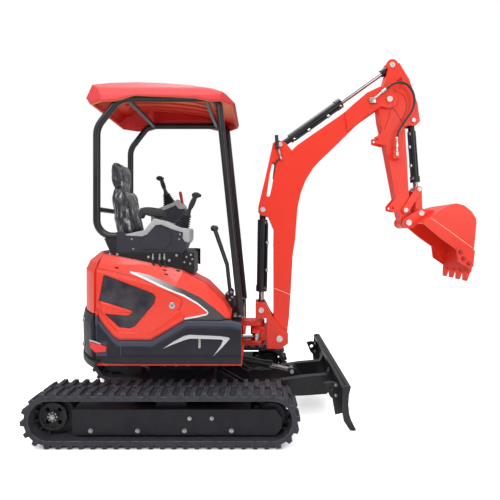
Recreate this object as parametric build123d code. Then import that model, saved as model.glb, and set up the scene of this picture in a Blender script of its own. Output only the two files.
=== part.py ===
from build123d import *
import os
from math import cos, pi, radians, sin, tan

# A mini excavator, millimetres. X forward, Y to the left, Z up, ground at Z = 0.
# Clearances
RUN = 0.3
PIN_SIDE = 3.0
PIN_HEAD = 4.0
MOVE = 6.0
SEAM = 4.0

# Undercarriage
TRACK_WIDTH = 230.0
TRACK_CENTRE = 505.0
WHEEL_BASE = 1380.0
REAR_WHEEL_X = -1352.0
BELT_INNER_R = 122.0
BELT_THICK = 28.0
LUG_HEIGHT = 22.0
LUG_COUNT = 52
LUG_ROOT = 36.0
LUG_TIP = 24.0
FRAME_HALF = 75.0
FRAME_WALL = 14.0
ROLLER_COUNT = 4
ROLLER_Z = 98.0

# House
SLEW_X = -630.0
RING_BOTTOM = 400.0
DECK_BOTTOM = 470.0
DECK_THICK = 30.0
HOUSE_HALF = 500.0
TAIL_R = 695.0
WEIGHT_R = 716.0
WALL = 25.0
FLOOR_TOP = 740.0
BASE_TOP = 1195.0
HOUSE_FRONT = -165.0
BASE_HALF = 385.0
WEIGHT_TOP = 800.0

# Working gear, pins as (x, z)
KING_X = -65.0
BOOM_FOOT = (100.0, 531.0)
ARM_PIN = (932.0, 2336.0)
ARM_ROD_PIN = (965.0, 2610.0)
ARM_BASE_PIN = (107.0, 1998.0)
BOOM_TOP_PIN = (-24.0, 1504.0)
BOOM_LOW_PIN = (-37.0, 745.0)
BUCKET_BASE_PIN = (1124.0, 2186.0)
TIP_PIN = (1060.0, 1500.0)
LINK_PIN = (1163.0, 1658.0)
BUCKET_LINK_PIN = (1169.0, 1475.0)
BUCKET_PIN = (1070.0, 1404.0)
BLADE_PIN = (-170.0, 165.0)
BLADE_BASE_PIN = (-270.0, 365.0)
BLADE_ROD_PIN = (198.0, 266.0)
SWING_BASE = (-640.0, -130.0)
SWING_EYE = (-75.0, -110.0)
SWING_Z = 556.0
BOOM_HALF = 57.0
ARM_HALF = 50.0
EYE_HALF = 26.0
PIN_R = 20.0
BUCKET_PIN_R = 18.0
BUCKET_HALF = 195.0

# Canopy
HOOP_Y = 345.0
HOOP_R = 24.0
ROOF_RAIL = 2250.0

os.makedirs("parts", exist_ok=True)


def block(x, y, z):
    middle = ((x[0] + x[1]) / 2, (y[0] + y[1]) / 2, (z[0] + z[1]) / 2)
    return Pos(*middle) * Box(x[1] - x[0], y[1] - y[0], z[1] - z[0])


def plate(points, y, radius=0):
    """A side view outline of (x, z) points, solid between two y values."""
    low, high = min(y), max(y)
    if radius:
        line = FilletPolyline(*points, radius=radius, close=True)
    else:
        line = Polyline(*points, close=True)
    sheet = Plane((0, low, 0), x_dir=(1, 0, 0), z_dir=(0, -1, 0)) * make_face(line)
    return extrude(sheet, high - low, dir=(0, 1, 0))


def slab(points, z, radius=0):
    """A plan outline of (x, y) points, solid between two z values."""
    if radius:
        line = FilletPolyline(*points, radius=radius, close=True)
    else:
        line = Polyline(*points, close=True)
    return extrude(Pos(0, 0, z[0]) * make_face(line), z[1] - z[0], dir=(0, 0, 1))


def rib(points, x):
    """A front view outline of (y, z) points, solid between two x values."""
    sheet = Plane((x[0], 0, 0), x_dir=(0, 1, 0), z_dir=(1, 0, 0)) * make_face(Polyline(*points, close=True))
    return extrude(sheet, x[1] - x[0], dir=(1, 0, 0))


def pin(at, y, radius):
    low, high = min(y), max(y)
    return Pos(at[0], (low + high) / 2, at[1]) * Rot(90, 0, 0) * Cylinder(radius, high - low)


def upright(x, y, z, radius):
    return Pos(x, y, (z[0] + z[1]) / 2) * Cylinder(radius, z[1] - z[0])


def rod(start, end, radius):
    """A round bar between two points (x, y, z)."""
    along = Vector(*end) - Vector(*start)
    seat = Plane(origin=start, z_dir=along)
    return seat * Cylinder(radius, along.length, align=(Align.CENTER, Align.CENTER, Align.MIN))


def mirrored(solid):
    return mirror(solid, about=Plane.XZ)


def pair(points, y, radius=0):
    return plate(points, y, radius) + plate(points, (-y[0], -y[1]), radius)


def tube(points, bend, radius):
    path = FilletPolyline(*points, radius=bend)
    section = Plane(origin=path @ 0, z_dir=path % 0) * Circle(radius)
    return sweep(section, path=path)


def revolved(points, start, turn):
    """A (radius, z) outline turned about the slew axis, angles in degrees from straight ahead."""
    side_view = Plane((SLEW_X, 0, 0), x_dir=(1, 0, 0), z_dir=(0, -1, 0))
    sheet = side_view * make_face(Polyline(*points, close=True))
    solid = revolve(sheet, axis=Axis((SLEW_X, 0, 0), (0, 0, 1)), revolution_arc=turn)
    return Pos(SLEW_X, 0, 0) * Rot(0, 0, start) * Pos(-SLEW_X, 0, 0) * solid


def rise(share):
    """A height between the floor and the seat base."""
    return FLOOR_TOP + share * (BASE_TOP - FLOOR_TOP)


def save(solid, name):
    export_step(solid, "parts/" + name + ".step")


# Rubber tracks: a belt round idler and sprocket, lugs in two rows half a pitch apart
WHEEL_Z = BELT_INNER_R + BELT_THICK + LUG_HEIGHT
FRONT_WHEEL_X = REAR_WHEEL_X + WHEEL_BASE
BELT_OUTER_R = BELT_INNER_R + BELT_THICK


def loop_point(travel, lift):
    turn = pi * BELT_OUTER_R
    travel = travel % (2 * (WHEEL_BASE + turn))
    reach = BELT_OUTER_R + lift
    if travel < WHEEL_BASE:
        return (REAR_WHEEL_X + travel, WHEEL_Z + reach)
    travel = travel - WHEEL_BASE
    if travel < turn:
        angle = pi / 2 - travel / BELT_OUTER_R
        return (FRONT_WHEEL_X + reach * cos(angle), WHEEL_Z + reach * sin(angle))
    travel = travel - turn
    if travel < WHEEL_BASE:
        return (FRONT_WHEEL_X - travel, WHEEL_Z - reach)
    angle = -pi / 2 - (travel - WHEEL_BASE) / BELT_OUTER_R
    return (REAR_WHEEL_X + reach * cos(angle), WHEEL_Z + reach * sin(angle))


def belt_half(phase, y):
    pitch = 2 * (WHEEL_BASE + pi * BELT_OUTER_R) / LUG_COUNT
    outline = []
    for number in range(LUG_COUNT):
        middle = (number + phase) * pitch
        outline.append(loop_point(middle - LUG_ROOT / 2, 0))
        outline.append(loop_point(middle - LUG_TIP / 2, LUG_HEIGHT))
        outline.append(loop_point(middle + LUG_TIP / 2, LUG_HEIGHT))
        outline.append(loop_point(middle + LUG_ROOT / 2, 0))
    middle_x = (REAR_WHEEL_X + FRONT_WHEEL_X) / 2
    hollow = Plane((middle_x, y[0], WHEEL_Z), x_dir=(1, 0, 0), z_dir=(0, -1, 0)) * SlotCenterToCenter(
        WHEEL_BASE, 2 * BELT_INNER_R
    )
    return plate(outline, y) - extrude(hollow, y[1] - y[0], dir=(0, 1, 0))


track_out = TRACK_CENTRE + TRACK_WIDTH / 2
track_in = TRACK_CENTRE - TRACK_WIDTH / 2
track_left = belt_half(0.0, (track_in, TRACK_CENTRE)) + belt_half(0.5, (TRACK_CENTRE, track_out))
save(track_left, "track_left")
save(mirrored(track_left), "track_right")

# Track frames: outer and inner side plates, top plate, tension end for the idler, top skid
frame_out = TRACK_CENTRE + FRAME_HALF
frame_in = TRACK_CENTRE - FRAME_HALF
plate_low = WHEEL_Z - 105
plate_high = WHEEL_Z + 53
frame_rear = REAR_WHEEL_X + BELT_INNER_R + 9
frame_tip = FRONT_WHEEL_X + 60
outer_plate = plate(
    [(frame_rear, plate_low + 23), (frame_rear + 21, plate_low), (frame_tip - 38, plate_low)]
    + [(frame_tip, WHEEL_Z - 62), (frame_tip, WHEEL_Z), (frame_tip - 38, plate_high)]
    + [(frame_rear, plate_high)],
    (frame_out - FRAME_WALL, frame_out),
)
inner_plate = plate(
    [(REAR_WHEEL_X - 48, WHEEL_Z - 27), (frame_rear - 9, plate_low), (FRONT_WHEEL_X + 32, plate_low)]
    + [(FRONT_WHEEL_X + 72, WHEEL_Z - 62), (FRONT_WHEEL_X + 72, WHEEL_Z + 18)]
    + [(FRONT_WHEEL_X + 32, plate_high)]
    + [(frame_rear - 9, plate_high), (REAR_WHEEL_X - 48, WHEEL_Z + 28)],
    (frame_in, frame_in + FRAME_WALL),
)
top_plate = block((frame_rear, FRONT_WHEEL_X - 138), (frame_in, frame_out), (plate_high - 20, plate_high))
rear_wall = block((frame_rear, frame_rear + 16), (frame_in, frame_out), (WHEEL_Z - 62, plate_high))
skid_top = WHEEL_Z + BELT_INNER_R - RUN
skid_x = (REAR_WHEEL_X + FRONT_WHEEL_X) / 2 + 48
skid = plate(
    [(skid_x - 101, plate_high - 5), (skid_x + 101, plate_high - 5)]
    + [(skid_x + 75, skid_top), (skid_x - 75, skid_top)],
    (TRACK_CENTRE - 30, TRACK_CENTRE + 30),
)
IDLER_PIN_R = 20.0
idler_at = (REAR_WHEEL_X, WHEEL_Z)
sprocket_at = (FRONT_WHEEL_X, WHEEL_Z)
MOTOR_R = 46.0
idler_pin = pin(idler_at, (frame_in, TRACK_CENTRE + 62), IDLER_PIN_R)
frame_left = outer_plate + inner_plate + top_plate + rear_wall + skid + idler_pin
frame_left = frame_left - pin(sprocket_at, (frame_in - 5, frame_in + FRAME_WALL + 5), MOTOR_R)
save(frame_left, "track_frame_left")
save(mirrored(frame_left), "track_frame_right")

# Idlers: a centre rim on the belt and a drum each side with four lightening holes
idler = pin(idler_at, (TRACK_CENTRE - 24, TRACK_CENTRE + 24), BELT_INNER_R - RUN)
idler = idler + pin(idler_at, (TRACK_CENTRE - 56, TRACK_CENTRE + 56), 88)
idler = idler - pin(idler_at, (TRACK_CENTRE + 44, TRACK_CENTRE + 57), 74)
idler = idler + pin(idler_at, (TRACK_CENTRE + 40, TRACK_CENTRE + 58), 34)
idler = idler - pin(idler_at, (TRACK_CENTRE - 70, TRACK_CENTRE + 70), IDLER_PIN_R + RUN)
for quarter in range(4):
    angle = radians(45 + 90 * quarter)
    hole_at = (idler_at[0] + 54 * cos(angle), idler_at[1] + 54 * sin(angle))
    idler = idler - pin(hole_at, (TRACK_CENTRE - 70, TRACK_CENTRE + 70), 15)
save(idler, "idler_left")
save(mirrored(idler), "idler_right")

# Drive sprockets with the travel motor's hub through the inner plate
SPROCKET_TEETH = 11
tooth_outline = []
for number in range(SPROCKET_TEETH):
    for turn, reach in ((-0.30, 96), (-0.14, 119), (0.14, 119), (0.30, 96)):
        angle = 2 * pi * (number + turn) / SPROCKET_TEETH
        tooth_outline.append((sprocket_at[0] + reach * cos(angle), sprocket_at[1] + reach * sin(angle)))
sprocket = plate(tooth_outline, (TRACK_CENTRE - 18, TRACK_CENTRE + 18))
sprocket = sprocket + pin(sprocket_at, (TRACK_CENTRE - 58, TRACK_CENTRE + 40), 82)
sprocket = sprocket + pin(sprocket_at, (TRACK_CENTRE - 150, TRACK_CENTRE - 58), MOTOR_R)
sprocket = sprocket + pin(sprocket_at, (TRACK_CENTRE + 40, frame_out - FRAME_WALL), 40)
save(sprocket, "sprocket_left")
save(mirrored(sprocket), "sprocket_right")

# Bottom rollers, spindles between the side plates
roller_r = ROLLER_Z - (BELT_THICK + LUG_HEIGHT) - RUN
rollers = None
roller_first = frame_rear + 116
roller_pitch = (FRONT_WHEEL_X - 255 - roller_first) / (ROLLER_COUNT - 1)
for number in range(ROLLER_COUNT):
    at = (roller_first + roller_pitch * number, ROLLER_Z)
    wheel = pin(at, (TRACK_CENTRE - 54, TRACK_CENTRE - 20), roller_r)
    wheel = wheel + pin(at, (TRACK_CENTRE + 20, TRACK_CENTRE + 54), roller_r)
    wheel = wheel + pin(at, (TRACK_CENTRE - 20, TRACK_CENTRE + 20), 30)
    wheel = wheel + pin(at, (frame_in + FRAME_WALL, frame_out - FRAME_WALL), 14)
    rollers = wheel if rollers is None else Compound(children=[*rollers.solids(), *wheel.solids()])
save(rollers, "rollers_left")
save(mirrored(rollers), "rollers_right")

# Centre frame: body under the slew ring, four legs to the track frames, ears for the blade
ARM_Y = 150.0
BLADE_ARM_HALF = 23.0
BLADE_PIN_R = 18.0
body = slab(
    [(-900, -200), (-820, -290), (-440, -290), (-360, -200)]
    + [(-360, 200), (-440, 290), (-820, 290), (-900, 200)],
    (215, 385),
)
body = body + upright(SLEW_X, 0, (380, RING_BOTTOM), 318)
leg = [(200, 370), (285, 345), (frame_in, 215), (frame_in, 100), (330, 120), (200, 240)]
for low in (-890, -510):
    body = body + rib(leg, (low, low + 140))
    body = body + rib([(-y, z) for y, z in leg], (low, low + 140))
ear = [(-420, 340), (-340, 330), (-126, 205), (-126, 132), (-190, 118), (-420, 225)]
inside = ARM_Y - BLADE_ARM_HALF - PIN_SIDE
outside = ARM_Y + BLADE_ARM_HALF + PIN_SIDE
body = body + pair(ear, (inside - 20, inside)) + pair(ear, (outside, outside + 20))
body = body + pin(BLADE_PIN, (inside - 10, outside + 28), BLADE_PIN_R)
body = body + pin(BLADE_PIN, (-inside + 10, -outside - 28), BLADE_PIN_R)
small_ear = [(-400, 378), (-400, 290), (-325, 290), (-242, 335), (-242, 378), (-262, 392), (-340, 392)]
body = body + pair(small_ear, (EYE_HALF + PIN_SIDE, EYE_HALF + PIN_SIDE + 16))
body = body + pin(BLADE_BASE_PIN, (-EYE_HALF - 24, EYE_HALF + 24), 14)
save(body, "centre_frame")

# Slew ring, fixed half
ring = upright(SLEW_X, 0, (RING_BOTTOM, DECK_BOTTOM - RUN), 300)
ring = ring - upright(SLEW_X, 0, (RING_BOTTOM - 5, DECK_BOTTOM + 5), 215)
save(ring, "slew_ring")

# Dozer blade: curved board with end plates, and its two arms with a cross plate
BLADE_HALF = 610.0
board = plate(
    [(512, 381), (500, 330), (496, 270), (501, 215), (517, 160), (545, 113)]
    + [(527, 108), (497, 150), (480, 210), (474, 270), (477, 330), (488, 381)],
    (-BLADE_HALF, BLADE_HALF),
)
end_plate = [(460, 375), (488, 381), (512, 381), (500, 330), (496, 270), (501, 215), (517, 160), (545, 113)]
end_plate = end_plate + [(527, 108), (505, 112), (470, 165), (460, 215)]
board = board + pair(end_plate, (BLADE_HALF - 16, BLADE_HALF))
board = board + block((462, 492), (-BLADE_HALF + 10, BLADE_HALF - 10), (352, 372))
BRACKET_Y = BLADE_HALF - 160
bracket_plate = [(372, 346), (412, 354), (482, 346), (478, 300), (480, 240), (452, 222), (408, 262)]
board = board + pair(bracket_plate, (BRACKET_Y, BRACKET_Y + 20))
stiffener = [(428, 236), (480, 240), (482, 205), (496, 152), (444, 140)]
board = board + pair(stiffener, (BRACKET_Y + 4, BRACKET_Y + 16))
board = board - pin((418, 312), (-BLADE_HALF, BLADE_HALF), 15)
save(board, "blade")
blade_arm = [(-170, 207), (268, 275), (440, 290), (462, 330), (478, 330), (475, 270), (481, 210), (484, 195)]
blade_arm = blade_arm + [(440, 150), (268, 138), (-170, 123)]
arms = pair(blade_arm, (ARM_Y - BLADE_ARM_HALF, ARM_Y + BLADE_ARM_HALF))
arms = arms + pin(BLADE_PIN, (ARM_Y - BLADE_ARM_HALF, ARM_Y + BLADE_ARM_HALF), 42)
arms = arms + pin(BLADE_PIN, (-ARM_Y - BLADE_ARM_HALF, -ARM_Y + BLADE_ARM_HALF), 42)
arms = arms + block((250, 440), (-ARM_Y, ARM_Y), (150, 185))
rod_ear = [(172, 240), (172, 292), (224, 292), (330, 185), (330, 150), (252, 150)]
arms = arms + pair(rod_ear, (EYE_HALF + PIN_SIDE, EYE_HALF + PIN_SIDE + 14))
arms = arms - pin(BLADE_PIN, (-outside - 30, outside + 30), BLADE_PIN_R + RUN)
arms = arms - board
save(arms, "blade_arms")


# Hydraulic cylinders: a hollow barrel with its base eye, and a rod with a plain eye
def cylinder(base, eye, barrel_r, rod_r, barrel_length, rod_length, base_pin_r, eye_r, across, neck=75.0):
    """Barrel and rod between two points, the pins' axes along the vector across."""
    along = (Vector(*eye) - Vector(*base)).normalized()
    reach = (Vector(*eye) - Vector(*base)).length
    middle = (Align.CENTER, Align.CENTER, Align.MIN)
    start = Plane(origin=base, z_dir=along)
    cross = Plane(origin=base, z_dir=across)
    end_cross = Plane(origin=eye, z_dir=across)
    barrel = start * Pos(0, 0, neck) * Cylinder(barrel_r, barrel_length - neck, align=middle)
    barrel = barrel + start * Pos(0, 0, eye_r * 0.5) * Cylinder(EYE_HALF - 2, neck, align=middle)
    barrel = barrel + start * Pos(0, 0, barrel_length - 45) * Cylinder(barrel_r + 5, 45, align=middle)
    barrel = barrel + cross * Cylinder(eye_r, 2 * EYE_HALF)
    bore_from = eye_r + 16
    barrel = barrel - start * Pos(0, 0, bore_from) * Cylinder(rod_r + RUN, barrel_length, align=middle)
    barrel = barrel - cross * Cylinder(base_pin_r + RUN, 4 * EYE_HALF)
    shaft = start * Pos(0, 0, reach - rod_length) * Cylinder(rod_r, rod_length, align=middle)
    shaft = shaft + end_cross * Cylinder(eye_r, 2 * EYE_HALF)
    return barrel, shaft


def flat(point, y=0.0):
    return (point[0], y, point[1])


blade_barrel, blade_rod = cylinder(
    flat(BLADE_BASE_PIN), flat(BLADE_ROD_PIN), 30, 16, 320, 300, 14, 26, (0, 1, 0)
)
save(blade_barrel, "blade_cylinder_barrel")
save(blade_rod, "blade_cylinder_rod")

# Deck: plan rounded at the tail, front lugs for the swing post, front walls, firewall
king_r = 30.0
lug_low = (DECK_BOTTOM, DECK_BOTTOM + 40)
lug_high = (618.0, 656.0)
deck = block((-1400, HOUSE_FRONT), (-HOUSE_HALF + 6, HOUSE_HALF - 6), (DECK_BOTTOM, DECK_BOTTOM + DECK_THICK))
deck = deck & upright(SLEW_X, 0, (DECK_BOTTOM - 5, DECK_BOTTOM + 60), 712)
for z in (lug_low, lug_high):
    deck = deck + block((-330, KING_X), (-56, 56), z) + upright(KING_X, 0, z, 56)
deck = deck + block((-330, -225), (-56, 56), (lug_low[0], lug_high[1]))
deck = deck + upright(KING_X, 0, (lug_low[0] - 8, lug_high[1]), king_r)
wall_top = FLOOR_TOP - 25
for side in (-1, 1):
    wall_y = (side * 195, side * 468)
    deck = deck + block((-200, -180), (min(wall_y), max(wall_y)), (DECK_BOTTOM + 10, wall_top))
fire = block((-640, -615), (-465, 465), (DECK_BOTTOM + 10, BASE_TOP - 30))
fire = fire - block((-650, -600), (-470, -BASE_HALF + 1), (rise(0.483), BASE_TOP + 100))
fire = fire - block((-650, -600), (BASE_HALF - 1, 470), (rise(0.483), BASE_TOP + 100))
deck = deck + fire
swing_seat = SWING_Z - EYE_HALF - 2
swing_pad = slab([(-685, -75), (-685, -165), (-600, -165), (-600, -75)], (DECK_BOTTOM + 10, swing_seat))
swing_pin = upright(SWING_BASE[0], SWING_BASE[1], (DECK_BOTTOM + 10, SWING_Z + EYE_HALF + 10), 14)
swing_room = block((-690, -560), (-190, -90), (swing_seat, SWING_Z + EYE_HALF + 60))
deck = deck + swing_pad - swing_room + swing_pin
save(deck, "deck")

# Counterweight round the tail
weight = revolved(
    [(560, DECK_BOTTOM + DECK_THICK), (690, DECK_BOTTOM + DECK_THICK), (WEIGHT_R - 4, 530)]
    + [(WEIGHT_R, WEIGHT_TOP - 56), (WEIGHT_R - 12, WEIGHT_TOP), (560, WEIGHT_TOP)],
    180 - 45.5,
    91,
)
weight = weight & block((-1400, -600), (-HOUSE_HALF - 4, HOUSE_HALF + 4), (400, 1000))
cover_rear = -1105.0
corner = block((cover_rear - SEAM, -600), (330, HOUSE_HALF + 40), (400, 1300))
weight = weight - corner - mirrored(corner)
save(weight, "counterweight")

# Covers: side wall and sloping shoulder, the right one hinged at the rear
shoulder = [(-1105, 0.998, 0.79), (-719, 0.822, 0.571), (-564, 0.736, 0.418), (-409, 0.558, 0.253)]
shoulder = shoulder + [(-294, 0.303, 0.11), (-240, 0.132, 0.044)]
shoulder = [(x, rise(top), rise(crease)) for x, top, crease in shoulder]
wave = [(-1160, WEIGHT_TOP + 5), (-994, FLOOR_TOP - 79), (-957, FLOOR_TOP - 102), (-750, FLOOR_TOP - 102)]
wave = wave + [(-528, FLOOR_TOP + 28), (-236, FLOOR_TOP + 24)]


def cover_solid(inset, front):
    """The right hand body under the shoulder, moved inwards by inset."""
    top = [(x, z) for x, z, crease in shoulder if x <= front]
    outline = [(-1105, 500)] + top + [(top[-1][0], 500)]
    solid = plate(outline, (-HOUSE_HALF + inset, -BASE_HALF - SEAM))
    for first, second in zip(shoulder[:-1], shoulder[1:]):
        top_a = Vector(first[0], -BASE_HALF - SEAM, first[1])
        top_b = Vector(second[0], -BASE_HALF - SEAM, second[1])
        low = Vector((first[0] + second[0]) / 2, -HOUSE_HALF, (first[2] + second[2]) / 2)
        normal = (top_b - top_a).cross(low - top_a).normalized()
        if normal.Z < 0:
            normal = normal * -1
        cut = Plane(origin=top_a - normal * inset, z_dir=normal)
        solid = solid - cut * Box(3000, 3000, 600, align=(Align.CENTER, Align.CENTER, Align.MIN))
    return solid


def cover_shell(front):
    shell = cover_solid(0, front) - cover_solid(WALL, front)
    region = wave[1:] + [(-236, BASE_TOP + 100), (-1105, BASE_TOP + 100), (-1105, FLOOR_TOP + 57)]
    return shell & plate(region, (-HOUSE_HALF - 50, 0))


window = [(-1058, 0.681), (-1046, 0.694), (-738, 0.435), (-720, 0.387), (-731, 0.29), (-857, -0.035)]
window = window + [(-894, -0.062), (-957, -0.044), (-1050, 0.143), (-1088, 0.33)]
window = [(x, rise(share)) for x, share in window]
door = cover_shell(-240)
pane_cut = plate(window, (-HOUSE_HALF - 10, -HOUSE_HALF + WALL + 10))
pane_solid = plate(window, (-HOUSE_HALF + 8, -HOUSE_HALF + 18)) & door
door = door - pane_cut
# it turns on a pin that stands in a boss on the skirt
KNUCKLE_R = 9.0
KNUCKLE_LENGTH = 30.0
HINGE_PIN_R = 4.0
DOOR_HINGE = (cover_rear + KNUCKLE_R, -HOUSE_HALF - KNUCKLE_R - RUN)
hinge_z = FLOOR_TOP + 62
door_boss = upright(DOOR_HINGE[0], DOOR_HINGE[1], (FLOOR_TOP, hinge_z - RUN), KNUCKLE_R)
door_pin = upright(DOOR_HINGE[0], DOOR_HINGE[1], (FLOOR_TOP, hinge_z + KNUCKLE_LENGTH), HINGE_PIN_R)
door_boss = door_boss + door_pin
knuckle = upright(DOOR_HINGE[0], DOOR_HINGE[1], (hinge_z, hinge_z + KNUCKLE_LENGTH), KNUCKLE_R)
knuckle = knuckle + block(
    (DOOR_HINGE[0] - KNUCKLE_R, DOOR_HINGE[0] + KNUCKLE_R),
    (DOOR_HINGE[1], -HOUSE_HALF + 10),
    (hinge_z, hinge_z + KNUCKLE_LENGTH),
)
door = door + knuckle - upright(DOOR_HINGE[0], DOOR_HINGE[1], (FLOOR_TOP, hinge_z + 60), HINGE_PIN_R + RUN)
save(door, "right_cover")
save(pane_solid, "right_window")
left = mirrored(cover_shell(-240)) - block((-615, 0), (0, 600), (400, 1300))
HOOD_HINGE = (-1117.0, 506.0)
for low in (rise(0.352), rise(0.637)):
    left = left + upright(HOOD_HINGE[0], HOOD_HINGE[1], (low, low + 26), KNUCKLE_R)
    left = left + block((-1117, -1098), (496, 512), (low, low + 26)) + upright(
        HOOD_HINGE[0], HOOD_HINGE[1], (low, low + 54), 4
    )
save(left, "left_cover")

# Rear hood: a curved panel with a sloping top, hinged at its left end
hood = revolved(
    [(TAIL_R - WALL, WEIGHT_TOP + MOVE), (TAIL_R, WEIGHT_TOP + MOVE), (TAIL_R, BASE_TOP - 120)]
    + [(TAIL_R - 24, BASE_TOP - 60), (TAIL_R - 95, BASE_TOP - 1), (TAIL_R - 109, BASE_TOP - 1)]
    + [(TAIL_R - 109, BASE_TOP - 27), (TAIL_R - 104, BASE_TOP - 27), (TAIL_R - 46, BASE_TOP - 73)]
    + [(TAIL_R - WALL, BASE_TOP - 125)],
    180 - 44.5,
    89,
)
hood = hood - corner - mirrored(corner)
for low in (rise(0.352), rise(0.637)):
    tab = upright(HOOD_HINGE[0], HOOD_HINGE[1], (low + 26 + RUN, low + 50), KNUCKLE_R)
    tab = tab + slab([(-1109, 509), (-1125, 512), (-1142, 480), (-1132, 470)], (low + 26 + RUN, low + 50))
    hood = hood + tab - upright(HOOD_HINGE[0], HOOD_HINGE[1], (low, low + 60), 4 + RUN)
save(hood, "rear_hood")

# The seat base: the fixed top of the engine bay, with a box for the control valve at its front
base = block((-1300, -590), (-BASE_HALF, BASE_HALF), (BASE_TOP - 30, BASE_TOP))
base = base & upright(SLEW_X, 0, (BASE_TOP - 200, BASE_TOP + 200), TAIL_R - 109 - MOVE)
for side in (-1, 1):
    edge_y = (side * 325, side * BASE_HALF)
    base = base + block((cover_rear, -1000), (min(edge_y), max(edge_y)), (BASE_TOP - 30, BASE_TOP))
valve_box = plate(
    [(-600, BASE_TOP), (-492, BASE_TOP), (-492, rise(0.69)), (-564, rise(0.745)), (-600, rise(0.765))],
    (-BASE_HALF + MOVE, -222),
)
save(base + valve_box, "seat_base")

# Tank cover: fixed top strip and inner panel beside the footwell
tank_top = [(x, z) for x, z, crease in shoulder[2:]]
tank_in = [(-614, 0.706), (-573, 0.679), (-424, 0.508), (-317, 0.273), (-265, 0.108)]
tank_floor = DECK_BOTTOM + DECK_THICK
strip = plate([(-590, rise(0.747))] + tank_top + [(-240, tank_floor), (-590, tank_floor)], (-BASE_HALF, -215))
strip = strip - plate(
    [(x, rise(share)) for x, share in tank_in] + [(-265, tank_floor - 50), (-614, tank_floor - 50)],
    (-BASE_HALF - 5, -240),
)
save(strip, "tank_cover")

# Skirts: the dark lower band on each side
skirt_low = DECK_BOTTOM + DECK_THICK
skirt = [(-1105, skirt_low), (-168, skirt_low), (-168, FLOOR_TOP + 2), (-240, FLOOR_TOP + 20)]
skirt = skirt + [(-530, FLOOR_TOP + 24), (-752, FLOOR_TOP - 106), (-955, FLOOR_TOP - 106)]
skirt = skirt + [(-992, FLOOR_TOP - 84), (-1105, FLOOR_TOP + 51)]
right_skirt = plate(skirt, (-HOUSE_HALF - 5, -HOUSE_HALF + 28))
rim = [edge for edge in right_skirt.edges() if abs(edge.center().Y + HOUSE_HALF + 5) < 0.1]
rim = [edge for edge in rim if edge.center().Z > skirt_low + 20 and abs(edge.tangent_at(0.5).Z) < 0.9]
right_skirt = chamfer(rim, 9)
save(mirrored(right_skirt), "left_skirt")
save(right_skirt + door_boss, "right_skirt")
lamp_line = [(-1141, 156), (-1076, 145), (-1032, 123), (-1037, 95), (-1105, 91), (-1137, 123)]
lamp_line = [(x, DECK_BOTTOM + z) for x, z in lamp_line]
lamp = plate(lamp_line, (-HOUSE_HALF - 14, -HOUSE_HALF - 5))
save(Compound(children=[lamp, mirrored(lamp)]), "tail_lamps")

# Floor with the front sill, on the front walls and the firewall
floor = block((-615, -172), (-215, 470), (FLOOR_TOP - 25, FLOOR_TOP))
floor = floor + block((-236, -172), (-470, -210), (FLOOR_TOP - 25, FLOOR_TOP))
floor = floor - strip
save(floor, "floor")

# Engine, one plain block
engine = block((-1120, -690), (-290, 290), (DECK_BOTTOM + DECK_THICK, BASE_TOP - 185))
engine = engine & upright(SLEW_X, 0, (DECK_BOTTOM, BASE_TOP), 556)
save(engine, "engine_block")

# Operator's place: seat frame, cushion, back, head rest, consoles, sticks and levers
def above(points):
    """Points with heights measured from the top of the seat base."""
    return [(x, BASE_TOP + height) for x, height in points]


save(block((-980, -640), (-150, 150), (BASE_TOP, BASE_TOP + 45)), "seat_frame")
SEAT_HALF = 215.0
BACK_HALF = 165.0
HEAD_HALF = 115.0
cushion_line = above([(-1020, 45), (-600, 45), (-575, 80), (-592, 126), (-1000, 116)])
cushion = plate(cushion_line, (-SEAT_HALF, SEAT_HALF), 14)
save(cushion, "seat_cushion")
back_line = above([(-1085, 101), (-985, 103), (-1000, 190), (-1048, 430), (-1066, 468), (-1125, 468)])
back_line = back_line + above([(-1138, 400), (-1120, 230)])
back = plate(back_line, (-BACK_HALF, BACK_HALF), 8)
save(back - cushion, "seat_back")
head = above([(-1142, 468), (-1090, 468), (-1078, 505), (-1082, 620), (-1106, 662), (-1140, 666)])
head = head + above([(-1157, 640), (-1158, 520)])
save(plate(head, (-HEAD_HALF, HEAD_HALF), 8), "head_rest")
console = above([(-1018, 0), (-565, 0), (-540, 67), (-528, 90), (-528, 155), (-578, 162), (-700, 209)])
console = console + above([(-760, 223), (-827, 146), (-951, 118), (-1018, 140)])
right_console = plate(console, (-BASE_HALF + 5, -245))
panel = above([(-880, 35), (-845, 25), (-690, 25), (-650, 70), (-650, 130), (-680, 165), (-770, 165)])
right_console = right_console + plate(panel, (-BASE_HALF - 2, -BASE_HALF + 6), 12)
rest_z = BASE_TOP + 245
right_console = right_console + block((-775, -722), (-332, -298), (BASE_TOP + 190, rest_z))
save(right_console, "right_console")
rest = [(-884, rest_z - 12), (-872, rest_z + 58), (-832, rest_z + 66), (-722, rest_z + 50)]
rest = rest + [(-706, rest_z + 34), (-706, rest_z), (-790, rest_z), (-846, rest_z + 16), (-864, rest_z - 14)]
save(plate(rest, (-352, -278), 5), "arm_rest")
pivot = (-950.0, BASE_TOP + 67.0)
left_console = mirrored(plate(console, (-BASE_HALF + 5, -245)))
raised = Pos(pivot[0] - 40, 0, pivot[1] - 8) * Rot(0, -42, 0)
left_console = raised * Pos(-pivot[0], 0, -pivot[1]) * left_console
left_console = left_console - block((-1200, -500), (200, BASE_HALF + 100), (BASE_TOP - 300, BASE_TOP))
left_console = left_console + block((-1010, -880), (245, BASE_HALF - 5), (BASE_TOP, BASE_TOP + 105))
save(left_console, "left_console")


def stick(foot, top, radius):
    """A control stick: bellows, shaft and grip."""
    way = Vector(*top) - Vector(*foot)
    seat = Plane(origin=foot, z_dir=way)
    middle = (Align.CENTER, Align.CENTER, Align.MIN)
    grip = seat * Pos(0, 0, way.length - 105) * Cylinder(22, 105, align=middle)
    bellows = seat * Cone(radius, 16, 110, align=middle)
    return bellows + seat * Cylinder(9, way.length - 60, align=middle) + grip


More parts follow.
